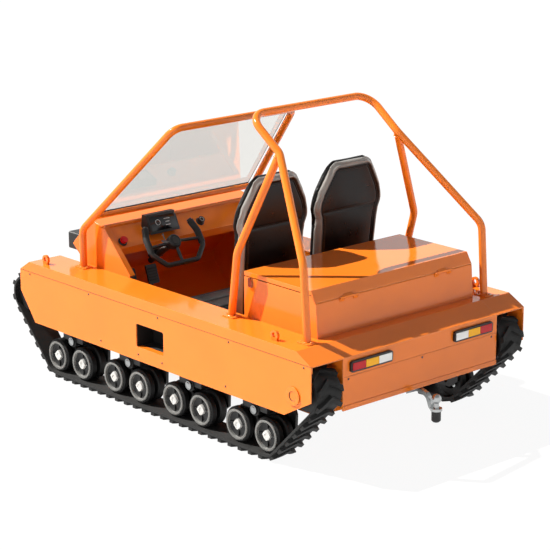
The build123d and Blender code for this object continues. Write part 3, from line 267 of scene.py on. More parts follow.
def clear_sheet():
    """Clear polycarbonate sheet: nearly colourless, a thin grey tint and sharp reflections."""
    material, tree = new_finish("clear_polycarbonate")
    place = node(tree, "ShaderNodeTexCoord").outputs["Object"]
    smear = node(tree, "ShaderNodeTexNoise", {"Vector": place, "Scale": per_metre(120), "Detail": 3.0})
    haze = node(tree, "ShaderNodeMapRange", {
        "Value": smear.outputs["Fac"], "From Min": 0.35, "From Max": 0.8, "To Min": 0.0, "To Max": 0.06})
    sheet = node(tree, "ShaderNodeBsdfPrincipled", {
        "Base Color": linear("#E4E3DF"), "Roughness": haze.outputs["Result"], "IOR": 1.45,
        "Transmission Weight": 1.0})
    node(tree, "ShaderNodeOutputMaterial", {"Surface": sheet.outputs["BSDF"]})
    return material


def lens_plastic(name, colour):
    """Moulded acrylic lamp lens: clear colour with the fine upright ribs that spread the light."""
    material, tree = new_finish(name)
    place = node(tree, "ShaderNodeTexCoord").outputs["Object"]
    ribs = node(tree, "ShaderNodeTexWave", {
        "Vector": place, "Scale": per_metre(6 * math.pi * 2) * math.pi}, bands_direction="Y")
    bump = node(tree, "ShaderNodeBump", {
        "Height": ribs.outputs["Fac"], "Strength": 0.25, "Distance": 0.8 * MM})
    lens = node(tree, "ShaderNodeBsdfPrincipled", {
        "Base Color": colour, "Roughness": 0.12, "Normal": bump.outputs["Normal"], "IOR": 1.49,
        "Specular IOR Level": 0.35})
    node(tree, "ShaderNodeOutputMaterial", {"Surface": lens.outputs["BSDF"]})
    return material


FINISHES = {}


def finishes():
    """All finishes by the record's slot names, with those of the added trim, made once."""
    if FINISHES:
        return FINISHES
    finish = settings()[0]
    FINISHES.update({
        "orange_paint": orange_enamel("gloss_enamel_orange", True),
        "tube_paint": orange_enamel("gloss_enamel_orange_tube", False),
        "black_vinyl": vinyl_cloth(),
        # Moulded natural rubber, filled with carbon black: dull, dusty in the hollows
        "black_rubber": plain_finish("moulded_rubber_black", finish.rubber, 0.62, 0.85, 2.5, 0.3),
        # Polyurethane tyre compound, cleaner and blacker than the track
        "tyre_rubber": plain_finish("moulded_tyre_black", linear("#0B0B0B"), 0.5, 0.7, 2.5, 0.2),
        # Silver lacquer on the cast hub caps
        "hub_silver": plain_finish("silver_lacquer", linear("#C8C8C6"), 0.3, 0.45, 3.0, 0.05, metallic=0.2),
        # Painted shade: flat black sheets that stand for the deep shade inside the step trays
        "painted_shade": plain_finish("bitumen_coat_black", linear("#060505"), 0.8, 0.95, 4.0, 0.2),
        # Sprayed grey primer-topcoat on pressed steel rims
        "grey_paint": plain_finish("satin_paint_grey", finish.wheel_grey, 0.35, 0.5, 3.0, 0.06),
        # Satin black paint over cast and welded brackets
        "black_paint": plain_finish("satin_paint_black", linear("#161616"), 0.35, 0.55, 3.0, 0.12),
        # Injection-moulded ABS with a fine spark-eroded grain
        "black_plastic": plain_finish(
            "moulded_abs_black", linear("#141414"), 0.38, 0.5, 1.5, 0.12, ior=1.53),
        # Zinc-plated turned steel with faint tarnish
        "bright_steel": plain_finish(
            "zinc_plated_steel", linear("#B9BBBB"), 0.14, 0.28, 2.0, 0.05, metallic=1.0),
        # Sand-cast grey iron
        "dark_iron": plain_finish("cast_iron_dark", linear("#3A3A3B"), 0.55, 0.75, 2.5, 0.4, metallic=0.7),
        "clear_glass": clear_sheet(),
        "red_plastic": lens_plastic("acrylic_lens_red", linear("#B80A14")),
        "amber_plastic": lens_plastic("acrylic_lens_amber", linear("#F2AE00")),
        "white_plastic": lens_plastic("acrylic_lens_white", linear("#E9EAEA")),
        # Toughened glass over a dark display
        "display_glass": plain_finish(
            "display_glass_dark", linear("#0B0D10"), 0.05, 0.12, 2.0, 0.0, ior=1.5),
        # Polyester sewing thread, a little paler than the vinyl
        "thread": plain_finish("polyester_thread_grey", linear("#4A4A4A"), 0.6, 0.8, 0.8, 0.3),
    })
    return FINISHES


# Forms and meshes


def show(name, mesh, body, slot, *nodes):
    """Put a finished mesh in the scene as a piece that rides on a body and may stand for solids."""
    piece = bpy.data.objects.new(name, mesh)
    bpy.context.scene.collection.objects.link(piece)
    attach(piece, body)
    if nodes:
        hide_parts(*nodes)
    return piece


def soften(mesh, sharp_deg):
    """Shade a mesh smooth, but for edges sharper than the angle."""
    mesh.shade_smooth()
    mesh.set_sharp_from_angle(angle=math.radians(sharp_deg))
    return mesh


def mesh_of(name, form, finish, sharp_deg=35):
    """Turn a bmesh into a mesh with one finish."""
    mesh = bpy.data.meshes.new(name)
    form.to_mesh(mesh)
    form.free()
    mesh.materials.append(finish)
    return soften(mesh, sharp_deg)


def joined(name, meshes):
    """One mesh from several that share a finish."""
    form = bmesh.new()
    for mesh in meshes:
        form.from_mesh(mesh)
    whole = bpy.data.meshes.new(name)
    form.to_mesh(whole)
    form.free()
    whole.materials.append(meshes[0].materials[0])
    return whole


def plain_mesh(holder):
    """What an object shows with its modifiers, as a mesh of its own."""
    shown = bpy.context.evaluated_depsgraph_get()
    return bpy.data.meshes.new_from_object(holder.evaluated_get(shown), depsgraph=shown)


def lathe(profile, steps=32):
    """Turn an outline of (radius, height) about Z into a closed form."""
    form = bmesh.new()
    corners = [form.verts.new((radius, 0, height)) for radius, height in profile]
    lines = [form.edges.new(pair) for pair in zip(corners, corners[1:])]
    bmesh.ops.spin(form, geom=corners + lines, axis=UP, cent=(0, 0, 0), steps=steps, angle=2 * math.pi)
    bmesh.ops.remove_doubles(form, verts=form.verts, dist=1e-6)
    bmesh.ops.recalc_face_normals(form, faces=form.faces)
    return form


def skin(form, rings):
    """Close a row of rings, which have as many points each, into a solid with faces outward."""
    form.faces.new(rings[0])
    form.faces.new(rings[-1])
    for low, high in zip(rings, rings[1:]):
        for i in range(len(low)):
            j = (i + 1) % len(low)
            form.faces.new((low[i], low[j], high[j], high[i]))
    bmesh.ops.recalc_face_normals(form, faces=form.faces)
    return form


def plate(outline, *lifts):
    """A flat outline of points, raised by each vector in turn and closed into a plate."""
    form = bmesh.new()
    return skin(form, [[form.verts.new(Vector(spot) + Vector(lift)) for spot in outline] for lift in lifts])


def slab(wide, tall, thick, corner, lip):
    """Rounded plate that stands on Z = 0, with a softened front edge."""
    form = bmesh.new()
    rings = []
    for height, inset in ((0, 0), (thick - lip, 0), (thick - lip * 0.3, lip * 0.3), (thick, lip)):
        radius = max(corner - inset, 0.0002)
        ring = []
        for turn in range(4):
            middle_x = (wide / 2 - inset - radius) * (1 if turn in (0, 3) else -1)
            middle_y = (tall / 2 - inset - radius) * (1 if turn in (0, 1) else -1)
            for step in range(5):
                angle = math.pi / 2 * (turn + step / 4)
                ring.append(form.verts.new((
                    middle_x + radius * math.cos(angle), middle_y + radius * math.sin(angle), height)))
        rings.append(ring)
    return skin(form, rings)


def ring_form(radius, thick, steps=40):
    """A round wire ring about Z."""
    angles = [math.pi * i / 4 for i in range(9)]
    return lathe([(radius + thick * math.cos(a), thick * math.sin(a)) for a in angles], steps)


def stand(form, origin, across, out):
    """Move a form from its own axes to a place, with X along one direction and Z along another."""
    out = Vector(out).normalized()
    across = Vector(across).normalized()
    turn = Matrix((across, out.cross(across), out)).transposed().to_4x4()
    bmesh.ops.transform(form, matrix=Matrix.Translation(Vector(origin)) @ turn, verts=form.verts)
    return form


def merge(form, other):
    """Add one form to another."""
    spare = bpy.data.meshes.new("spare")
    other.to_mesh(spare)
    other.free()
    form.from_mesh(spare)
    bpy.data.meshes.remove(spare)


def tube(name, points, radius, finish, closed=False, sides=4):
    """A round bar along a line of points, as a plain mesh."""
    curve = bpy.data.curves.new(name, "CURVE")
    curve.dimensions = "3D"
    curve.bevel_depth = radius
    curve.bevel_resolution = sides
    curve.use_fill_caps = not closed
    run = curve.splines.new("POLY")
    run.points.add(len(points) - 1)
    for spot, place in zip(run.points, points):
        spot.co = (*place, 1.0)
    run.use_cyclic_u = closed
    holder = bpy.data.objects.new(name, curve)
    bpy.context.scene.collection.objects.link(holder)
    mesh = plain_mesh(holder)
    bpy.data.objects.remove(holder)
    mesh.name = name
    mesh.materials.clear()
    mesh.materials.append(finish)
    return soften(mesh, 50)


# Repeats by Geometry Nodes


def facing(direction, spin=0.0):
    """Euler angles that turn +Z towards a direction, after a spin about it."""
    turn = Vector(direction).to_track_quat("Z", "Y") @ Quaternion((0, 0, 1), spin)
    return tuple(turn.to_euler())


def stamp_tree(name, carrier, measure, lay):
    """Tree that sets one part at many spots; lay adds the nodes that find the spots, turn and size."""
    tree = bpy.data.node_groups.get(name)
    if tree:
        return tree
    tree = bpy.data.node_groups.new(name, "GeometryNodeTree")
    sockets = ((carrier, "Geometry"), ("Part", "Object"), (measure, "Float"), ("Finish", "Material"))
    for socket, kind in sockets:
        tree.interface.new_socket(socket, in_out="INPUT", socket_type="NodeSocket" + kind)
    tree.interface.new_socket("Parts", in_out="OUTPUT", socket_type="NodeSocketGeometry")
    given = node(tree, "NodeGroupInput").outputs
    part = node(tree, "GeometryNodeObjectInfo", {"Object": given["Part"]})
    copies = node(tree, "GeometryNodeInstanceOnPoints", {
        "Instance": part.outputs["Geometry"], **lay(tree, given)})
    solid = node(tree, "GeometryNodeRealizeInstances", {"Geometry": copies.outputs["Instances"]})
    dressed = node(tree, "GeometryNodeSetMaterial", {
        "Geometry": solid.outputs["Geometry"], "Material": given["Finish"]})
    node(tree, "NodeGroupOutput", {"Parts": dressed.outputs["Geometry"]})
    return tree


def on_points(tree, given):
    """Spots at the carrier's points, turned as each point says."""
    turn = node(tree, "GeometryNodeInputNamedAttribute", {"Name": "turn"}, data_type="FLOAT_VECTOR")
    turned = node(tree, "FunctionNodeEulerToRotation", {"Euler": turn.outputs["Attribute"]})
    return {"Points": given["Points"], "Rotation": turned.outputs["Rotation"], "Scale": given["Size"]}


def on_lines(tree, given):
    """Spots along the carrier's lines, at an even pitch and in the line's direction."""
    line = node(tree, "GeometryNodeMeshToCurve", {"Mesh": given["Line"]})
    spots = node(tree, "GeometryNodeResampleCurve", {
        "Curve": line.outputs["Curve"], "Length": given["Pitch"]}, mode="LENGTH")
    along = node(tree, "GeometryNodeInputTangent")
    turned = node(tree, "FunctionNodeAlignRotationToVector", {"Vector": along.outputs["Tangent"]}, axis="X")
    return {"Points": spots.outputs["Curve"], "Rotation": turned.outputs["Rotation"]}


def stamped(name, part, carrier, tree, finish, **measure):
    """Run a tree that sets the part on a carrier mesh, and return the result as a plain mesh."""
    stamp = bpy.data.objects.new(name + "_part", part)
    holder = bpy.data.objects.new(name, carrier)
    bpy.context.scene.collection.objects.link(stamp)
    bpy.context.scene.collection.objects.link(holder)
    modifier = holder.modifiers.new("stamp", "NODES")
    modifier.node_group = tree
    values = {"Part": stamp, "Finish": finish, **measure}
    for item in tree.interface.items_tree:
        if item.in_out == "INPUT" and item.name in values:
            modifier[item.identifier] = values[item.name]
    mesh = plain_mesh(holder)
    holder.modifiers.clear()
    bpy.data.objects.remove(holder)
    bpy.data.objects.remove(stamp)
    mesh.name = name
    return mesh


def repeat(name, part, places, finish):
    """One mesh with the part at every place, each a position and Euler angles."""
    points = bpy.data.meshes.new(name + "_points")
    points.from_pydata([place for place, _ in places], [], [])
    turns = points.attributes.new("turn", "FLOAT_VECTOR", "POINT")
    turns.data.foreach_set("vector", [angle for _, turn in places for angle in turn])
    tree = stamp_tree("part_on_points", "Points", "Size", on_points)
    return stamped(name, part, points, tree, finish, Size=1.0)


def along_lines(name, part, lines, pitch, finish):
    """One mesh with the part at every pitch of each line of points."""
    ways = bpy.data.meshes.new(name + "_lines")
    spots, links = [], []
    for line in lines:
        links += [(len(spots) + i, len(spots) + i + 1) for i in range(len(line) - 1)]
        spots += line
    ways.from_pydata(spots, links, [])
    tree = stamp_tree("part_along_line", "Line", "Pitch", on_lines)
    return stamped(name, part, ways, tree, finish, Pitch=pitch)


def show_repeats(rows):
    """Show one piece of the vehicle for each row: name, form, places, finish, slot and the solids that it
    stands for."""
    finish = finishes()
    for name, form, places, look, slot, *nodes in rows:
        part = mesh_of(name + "_one", form, finish[look], 40)
        show(name, repeat(name, part, places, finish[look]), "vehicle", slot, *nodes)


# Road wheels

BOGIE_X = (0.8155, 0.3085, -0.1985, -0.7055)    # pivots of the bogies
WHEEL_REACH = 0.110     # from a bogie's pivot to each of its wheels
WHEEL_Z = 0.124
WHEEL_FACE = 0.706      # outer face of a wheel, from the vehicle's middle
WHEEL_INNER = 0.596     # its inner face
# Outlines about a wheel's axle: radius, distance out from its face
RIM = ((0.0665, -0.018), (0.0665, -0.003), (0.0675, -0.0006), (0.0690, 0.0), (0.0778, 0.0),
       (0.0793, -0.0008), (0.0800, -0.003), (0.0800, -0.0075), (0.076, -0.020), (0.0665, -0.018))
DISH = ((0.0, -0.017), (0.030, -0.017), (0.040, -0.019), (0.055, -0.020), (0.0655, -0.014),
        (0.0665, -0.030), (0.0, -0.030))
TYRE_GROOVE = 0.060     # radius at the foot of the groove between twin tyres
DISH_RIB = (0.030, 0.004, 0.008, 0.001, 0.001)      # length, width, height, corner, lip
RIB_RADIUS, RIB_DEPTH = 0.049, 0.020
HUB_REACH = 0.029       # from a hub's middle to a corner of its diamond
HUB_BULGE = 1.3         # 1 is a straight-sided diamond, 2 a circle
HUB_RINGS = ((1.0, -0.018), (1.0, -0.006), (0.94, -0.0035), (0.46, -0.0035), (0.42, -0.006))
HUB_STEPS = 32


class VEHICLE_OT_road_wheels(bpy.types.Operator):
    """Model the road wheels: bonded twin tyres, grey rim, black dish with ribs and a bright hub."""

    bl_idname = "vehicle.road_wheels"
    bl_label = "Road wheels"

    def execute(self, context):
        places = [(Vector((x + end * WHEEL_REACH, side * WHEEL_FACE, WHEEL_Z)), facing(LEFT * side))
                  for side in SIDES for x in BOGIE_X for end in SIDES]
        show_repeats((
            ("wheel_tyres", self.tyre(), places, "tyre_rubber", "black_rubber", "road_wheels"),
            ("wheel_rims", lathe(RIM, 56), places, "grey_paint", "grey_paint", "road_wheels"),
            ("wheel_dishes", self.dish(), places, "black_paint", "black_paint", "road_wheels"),
            ("wheel_hubs", self.hub(), places, "hub_silver", "bright_steel", "road_wheels")))
        return {"FINISHED"}

    def tyre(self):
        """Twin tyres on one drum, with a groove between them."""
        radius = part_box("road_wheels")[1].z - WHEEL_Z
        depth = WHEEL_FACE - WHEEL_INNER
        return lathe([
            (0.079, -0.008), (radius - 0.006, -0.006), (radius, -0.013), (radius, -0.037),
            (radius - 0.007, -0.044), (TYRE_GROOVE, -0.046), (TYRE_GROOVE, 0.046 - depth),
            (radius - 0.007, 0.044 - depth), (radius, 0.037 - depth), (radius, 0.007 - depth),
            (radius - 0.006, -depth), (0.052, -depth), (0.052, -0.034), (0.072, -0.030),
            (0.079, -0.008)], 56)

    def dish(self):
        """Pressed dish with four ribs."""
        form = lathe(DISH, 48)
        for angle in (math.pi / 2 * turn for turn in range(4)):
            way = Vector((math.cos(angle), math.sin(angle), 0))
            merge(form, stand(slab(*DISH_RIB), way * RIB_RADIUS - UP * RIB_DEPTH, way, UP))
        return form

    def hub(self):
        """Cast hub with a diamond face and a sunk middle."""
        form = bmesh.new()
        rings = []
        for size, height in HUB_RINGS:
            ring = []
            for angle in (2 * math.pi * step / HUB_STEPS for step in range(HUB_STEPS)):
                across, up = math.cos(angle), math.sin(angle)
                spread = abs(across) ** HUB_BULGE + abs(up) ** HUB_BULGE
                reach = HUB_REACH * size / spread ** (1 / HUB_BULGE)
                ring.append(form.verts.new((reach * across, reach * up, height)))
            rings.append(ring)
        return skin(form, rings)


# Seats

SEAT_HALF = 0.245
BACK_RAKE = math.radians(6)
BACK_TOP_Z = 1.305
BACK_TALL = 0.829
BACK_THICK = 0.100      # at the middle of the padding
BACK_EDGE = 0.062       # at the outline
BACK_CROWN = 0.085      # from the outline to the full thickness
BACK_RIM = 0.014        # rear rim rolled forward
RIM_ROLL = 0.026        # width of that roll
SHEEN_WIDE, SHEEN_FADE, SHEEN_DEEP = 0.024, 0.008, 0.034      # painted grey sheen on the rims: width, soft edge, reach ahead
PANEL_SUNK, PANEL_FADE = 0.004, 0.016                   # rear panel inside the roll
REAR_DEEP = BACK_RIM + 0.012    # points this near the rear belong to the rear face
FRONT_BORDER = 0.075    # from the outline to the front's panel seam
CUSHION_LONG = 0.368
CUSHION_TALL = 0.115
CUSHION_EDGE = 0.76     # height at the outline, as a share
CUSHION_CROWN = 0.070   # from the outline to the full height
CUSHION_BORDER = 0.062  # from the outline to the panel seam
CUSHION_LIFT = 0.001    # the underside stays this far above the base
BLOCK_THICK = 0.150     # a pad's block is cut this deep, so that its sides get enough points
PAD_SKIN = 0.004        # start of the cover inside the finished seat
SEAM_WIDE, SEAM_DEEP = 0.005, 0.0045
SEAM_PINNED = 0.35      # points with this share of a seam's depth are held while the foam swells
STITCH_INSET = 0.009    # border stitches inside the piping
STITCH_BESIDE = 0.007   # cross seam's stitches beside it
THREAD_LIFT = 0.0006    # piping and stitches above the cover
STITCH = ((0.0, -0.0028), (0.0007, -0.0023), (0.0009, 0.0), (0.0007, 0.0023), (0.0, 0.0028))
SWELL_FRAMES = 20
# Outlines of a seat: distance from the top or front edge, half width there
BACK_OUTLINE = (
    (0.000, 0.108), (0.007, 0.126), (0.024, 0.150), (0.150, 0.222), (0.205, 0.240), (0.240, 0.244),
    (0.264, 0.241), (0.300, 0.228), (0.345, 0.222), (0.600, 0.214), (BACK_TALL, 0.200))
CUSHION_OUTLINE = (
    (0.000, 0.200), (0.010, 0.226), (0.034, 0.243), (0.300, 0.243), (CUSHION_LONG, 0.236))


def points_of(mesh):
    """A mesh's points as an array."""
    spots = np.empty(len(mesh.vertices) * 3, np.float32)
    mesh.vertices.foreach_get("co", spots)
    return spots.reshape(-1, 3).astype(float)


def set_points(mesh, spots):
    """Move a mesh's points."""
    mesh.vertices.foreach_set("co", np.asarray(spots, np.float32).ravel())
    mesh.update()


def normals_of(mesh):
    """A mesh's normals at its points as an array."""
    ways = np.empty(len(mesh.vertices) * 3, np.float32)
    mesh.vertices.foreach_get("normal", ways)
    return ways.reshape(-1, 3).astype(float)


def ease(share):
    """Smooth step from 0 to 1."""
    share = np.clip(share, 0, 1)
    return share * share * (3 - 2 * share)


def notch(distance, wide=SEAM_WIDE):
    """1 on a seam line, falling to 0 at about twice the width beside it."""
    return np.exp(-(distance / wide) ** 2)


class Pad:
    """A stuffed seat pad in its own axes: across, along from its top or front edge, and through it.
    Each kind of pad gives its outline, shape, seams and place."""

    def __init__(self, seat):
        self.seat = seat
        right = [(half, along) for along, half in self.outline]
        self.corners = np.array(right + [(-half, along) for half, along in reversed(right)])

    def edge_distance(self, spots):
        """Distance of each (across, along) spot inside the outline, and the inward direction there."""
        starts = self.corners
        runs = np.roll(starts, -1, axis=0) - starts
        share = ((spots[:, None] - starts) * runs).sum(2) / (runs ** 2).sum(1)
        feet = starts + runs * np.clip(share, 0, 1)[..., None]
        gaps = np.linalg.norm(spots[:, None] - feet, axis=2)
        nearest = gaps.argmin(1)
        run = runs[nearest]
        inward = np.stack([-run[:, 1], run[:, 0]], 1) / np.linalg.norm(run, axis=1)[:, None]
        middle = self.corners.mean(0)
        facing_in = np.sign(((middle - starts[nearest]) * inward).sum(1))
        return gaps[np.arange(len(spots)), nearest], inward * facing_in[:, None]

    def inset_line(self, inset, step=0.012):
        """Closed line of (across, along) spots at an even distance inside the outline."""
        line = []
        for start, end in zip(self.corners, np.roll(self.corners, -1, axis=0)):
            count = max(1, round(float(np.linalg.norm(end - start)) / step))
            line += [start + (end - start) * i / count for i in range(count)]
        spots = np.array(line)
        for _ in range(12):
            gap, inward = self.edge_distance(spots)
            spots = spots + inward * (inset - gap)[:, None] * 0.6
            spots = (np.roll(spots, 1, axis=0) + spots * 2 + np.roll(spots, -1, axis=0)) / 4
        return spots

    def block(self):
        """Object that holds the plain block of the pad, evenly meshed."""
        corners = [(across, along, 0) for across, along in self.corners]
        form = plate(corners, (0, 0, 0), (0, 0, BLOCK_THICK))
        mesh = bpy.data.meshes.new("pad")
        form.to_mesh(mesh)
        form.free()
        holder = bpy.data.objects.new("pad", mesh)
        bpy.context.scene.collection.objects.link(holder)
        remesh = holder.modifiers.new("even", "REMESH")
        remesh.mode = "VOXEL"
        remesh.voxel_size = self.seat.voxel
        even = plain_mesh(holder)
        holder.modifiers.clear()
        holder.data = even
        return holder


class BackPad(Pad):
    """A seat back: a rear shell with a rolled rim, a groove round the side, and the padded front layer."""

    kind, solids = "back", "seat_backs"
    outline, tall = BACK_OUTLINE, BACK_THICK
    cross_seam, cross_half = 0.268, 0.150       # below the top, and its half length
    lowest = -math.inf
    mirrored = True     # across, down and ahead are left-handed, so the faces are turned round

    def borders(self):
        """Side that each bordered face is seen from, and its border."""
        return (-1, self.seat.border), (1, FRONT_BORDER)

    def shape(self, spots):
        """Shape the block's points, and return their distance from the outline."""
        gap, inward = self.edge_distance(spots[:, :2])
        depth = spots[:, 2] / BLOCK_THICK
        rear = BACK_RIM * (1 - ease(gap / RIM_ROLL)) ** 2 + PAD_SKIN
        rear += PANEL_SUNK * ease((gap - RIM_ROLL) / PANEL_FADE)
        front = BACK_EDGE + (BACK_THICK - BACK_EDGE) * ease(gap / BACK_CROWN) - PAD_SKIN
        side = 1 - ease(gap / 0.028)
        # The side draws in at the rear rim, in a groove near the middle and at the front edge
        roll = 0.010 * (1 - ease(depth / 0.22)) + 0.016 * notch(depth - 0.47, 0.07)
        roll += 0.012 * ease(depth * 3 - 2)
        spots[:, :2] += inward * ((roll + PAD_SKIN) * side)[:, None]
        spots[:, 2] = rear + (front - rear) * depth
        return gap

    def seams(self, gap, spots):
        """Depth of the sewn seams at each point, as a share."""
        cross = notch(spots[:, 1] - self.cross_seam) * (gap > self.seat.border)
        rear = np.maximum(notch(gap - self.seat.border), cross)
        front = np.where(gap > 0.02, np.maximum(notch(gap - FRONT_BORDER), cross), 0)
        return np.where(spots[:, 2] < REAR_DEEP, rear, front)

    def held(self, spots):
        """Points that are held besides the seams: none."""
        return np.zeros(len(spots), bool)

    def rim(self, gap, spots):
        """Share of the painted grey sheen on the rim at each point."""
        return (1 - ease((gap - SHEEN_WIDE) / SHEEN_FADE)) * (spots[:, 2] < SHEEN_DEEP)

    def place(self, spots, side_y):
        """World places of (across, down, ahead) points."""
        top = np.array((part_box("seat_backs")[0].x, side_y, BACK_TOP_Z))
        down = np.array((math.sin(BACK_RAKE), 0, -math.cos(BACK_RAKE)))
        ahead = np.array((math.cos(BACK_RAKE), 0, math.sin(BACK_RAKE)))
        spots = np.asarray(spots, float).reshape(-1, 3)
        return top + spots[:, :1] * np.array(LEFT) + spots[:, 1:2] * down + spots[:, 2:] * ahead


class CushionPad(Pad):
    """A seat cushion: a flat underside, rolled edges and a crowned top."""

    kind, solids = "cushion", "seat_cushions"
    outline, tall = CUSHION_OUTLINE, CUSHION_TALL
    cross_seam, cross_half = 0.185, 0.170       # behind the front edge, and its half length
    lowest = CUSHION_LIFT
    mirrored = False

    def borders(self):
        """Side that the bordered face is seen from, and its border."""
        return ((1, CUSHION_BORDER),)

    def shape(self, spots):
        """Shape the block's points, and return their distance from the outline."""
        gap, inward = self.edge_distance(spots[:, :2])
        depth = spots[:, 2] / BLOCK_THICK
        top = self.tall * (CUSHION_EDGE + (1 - CUSHION_EDGE) * ease(gap / CUSHION_CROWN)) - PAD_SKIN
        side = 1 - ease(gap / 0.030)
        # The side draws in along its welt and towards the top
        pull = 0.012 * notch(depth - 0.62, 0.10) + 0.016 * ease(depth * 2 - 1.0) + PAD_SKIN
        spots[:, :2] += inward * (pull * side)[:, None]
        spots[:, 2] = top * depth
        return gap

    def seams(self, gap, spots):
        """Depth of the sewn seams at each point, as a share."""
        cross = notch(spots[:, 1] - self.cross_seam) * (gap > CUSHION_BORDER)
        return np.where(spots[:, 2] > self.tall * 0.6, np.maximum(notch(gap - CUSHION_BORDER), cross), 0)

    def held(self, spots):
        """Points that are held besides the seams: the underside."""
        return spots[:, 2] < PAD_SKIN + 0.004

    def rim(self, gap, spots):
        """Share of the painted grey sheen at each point: none."""
        return np.zeros(len(spots))

    def place(self, spots, side_y):
        """World places of (across, back from the front edge, up) points."""
        low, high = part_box("seat_cushions")
        spots = np.asarray(spots, float).reshape(-1, 3)
        return np.stack([high.x - spots[:, 1], side_y + spots[:, 0], low.z + spots[:, 2]], 1)


def swell(holder, pinned, seat):
    """Let the foam push the cover out between its pinned seams by Blender's cloth, and keep the result."""
    mesh = holder.data
    before = points_of(mesh)
    group = holder.vertex_groups.new(name="seams")
    group.add([int(i) for i in np.flatnonzero(pinned)], 1.0, "REPLACE")
    foam = holder.modifiers.new("foam", "CLOTH")
    foam.settings.use_pressure = True
    foam.settings.uniform_pressure_force = seat.pressure
    foam.settings.effector_weights.gravity = 0
    foam.settings.vertex_group_mass = "seams"
    foam.point_cache.frame_start = 1
    foam.point_cache.frame_end = SWELL_FRAMES
    scene = bpy.context.scene
    for moment in range(1, SWELL_FRAMES + 1):
        scene.frame_set(moment)
    after = points_of(plain_mesh(holder))
    holder.modifiers.clear()
    holder.vertex_groups.clear()
    scene.frame_set(1)
    move = after - before
    far = np.linalg.norm(move, axis=1)
    set_points(mesh, before + move * np.minimum(1, seat.swell / np.maximum(far, 1e-9))[:, None])


class VEHICLE_OT_seats(bpy.types.Operator):
    """Sew the seats: stuffed backs and cushions with bolstered borders, piping and stitched seams."""

    bl_idname = "vehicle.seats"
    bl_label = "Seats"

    def execute(self, context):
        seat = settings()[1]
        seat_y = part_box("seat_backs")[1].y - SEAT_HALF
        for pad in (BackPad(seat), CushionPad(seat)):
            mesh = self.sew(pad, seat)
            polygons = [tuple(face.vertices) for face in mesh.polygons]
            surface = BVHTree.FromPolygons([Vector(spot) for spot in points_of(mesh)], polygons)
            for side, word in zip(SIDES, ("left", "right")):
                name = f"seat_{pad.kind}_{word}"
                self.cover(name, pad, mesh, side * seat_y)
                self.trim(name, pad, surface, side * seat_y, seat)
        return {"FINISHED"}

    def sew(self, pad, seat):
        """Make one pad, swell it, cut its seams and mark its rim for the painted grey sheen."""
        holder = pad.block()
        mesh = holder.data
        spots = points_of(mesh)
        gap = pad.shape(spots)
        set_points(mesh, spots)
        for _ in range(2):
            self.relax(mesh)
        spots = points_of(mesh)
        depth = pad.seams(gap, spots)
        swell(holder, (depth > SEAM_PINNED) | pad.held(spots), seat)
        spots = points_of(mesh) - normals_of(mesh) * (depth * SEAM_DEEP)[:, None]
        spots[:, 2] = np.maximum(spots[:, 2], pad.lowest)
        set_points(mesh, spots)
        # Mark where the rim's painted grey sheen goes
        rim = mesh.attributes.new("rim", "FLOAT", "POINT")
        rim.data.foreach_set("value", pad.rim(gap, spots).astype(np.float32))
        bpy.data.objects.remove(holder)
        return mesh

    def relax(self, mesh):
        """One pass of smoothing over the mesh's edges."""
        form = bmesh.new()
        form.from_mesh(mesh)
        bmesh.ops.smooth_vert(
            form, verts=form.verts, factor=0.5, use_axis_x=True, use_axis_y=True, use_axis_z=True)
        form.to_mesh(mesh)
        form.free()

    def cover(self, name, pad, mesh, side_y):
        """Set one seat's cover in place."""
        cover = mesh.copy()
        set_points(cover, pad.place(points_of(mesh), side_y))
        if pad.mirrored:
            cover.flip_normals()
        cover.materials.clear()
        cover.materials.append(finishes()["black_vinyl"])
        cover.shade_smooth()
        show(name, cover, "vehicle", "black_vinyl", pad.solids)

    def laid(self, pad, surface, line, seen_from, side_y):
        """World points of a line laid on the far face (seen from 1) or near face (seen from -1) of a pad."""
        spots = []
        for across, along in line:
            start = Vector((across, along, seen_from * 0.3 + pad.tall / 2))
            hit = surface.ray_cast(start, Vector((0, 0, -seen_from)))[0]
            if hit is not None:
                spots.append((hit.x, hit.y, hit.z + seen_from * THREAD_LIFT))
        return [Vector(spot) for spot in pad.place(spots, side_y)]

    def trim(self, name, pad, surface, side_y, seat):
        """Lay one seat's piping and stitches."""
        finish = finishes()
        pipes, rows = [], []
        for seen_from, border in pad.borders():
            pipes.append(self.laid(pad, surface, pad.inset_line(border), seen_from, side_y))
            row = self.laid(pad, surface, pad.inset_line(border + STITCH_INSET), seen_from, side_y)
            rows.append(row + row[:1])
            for beside in (-STITCH_BESIDE, STITCH_BESIDE):
                spread = np.linspace(-pad.cross_half, pad.cross_half, 60)
                line = [(across, pad.cross_seam + beside) for across in spread]
                rows.append(self.laid(pad, surface, line, seen_from, side_y))
        cords = joined(name + "_piping", [
            tube(name + "_cord", line, seat.piping, finish["black_vinyl"], closed=True) for line in pipes])
        show(name + "_piping", cords, "vehicle", "black_vinyl")
        stitch = lathe(STITCH, 6)
        bmesh.ops.rotate(stitch, verts=stitch.verts, matrix=Matrix.Rotation(math.pi / 2, 3, "Y"))
        part = mesh_of("stitch", stitch, finish["thread"])
        sewn = along_lines(name + "_stitches", part, rows, seat.stitch_pitch, finish["thread"])
        show(name + "_stitches", sewn, "vehicle", "black_vinyl")


# Fasteners

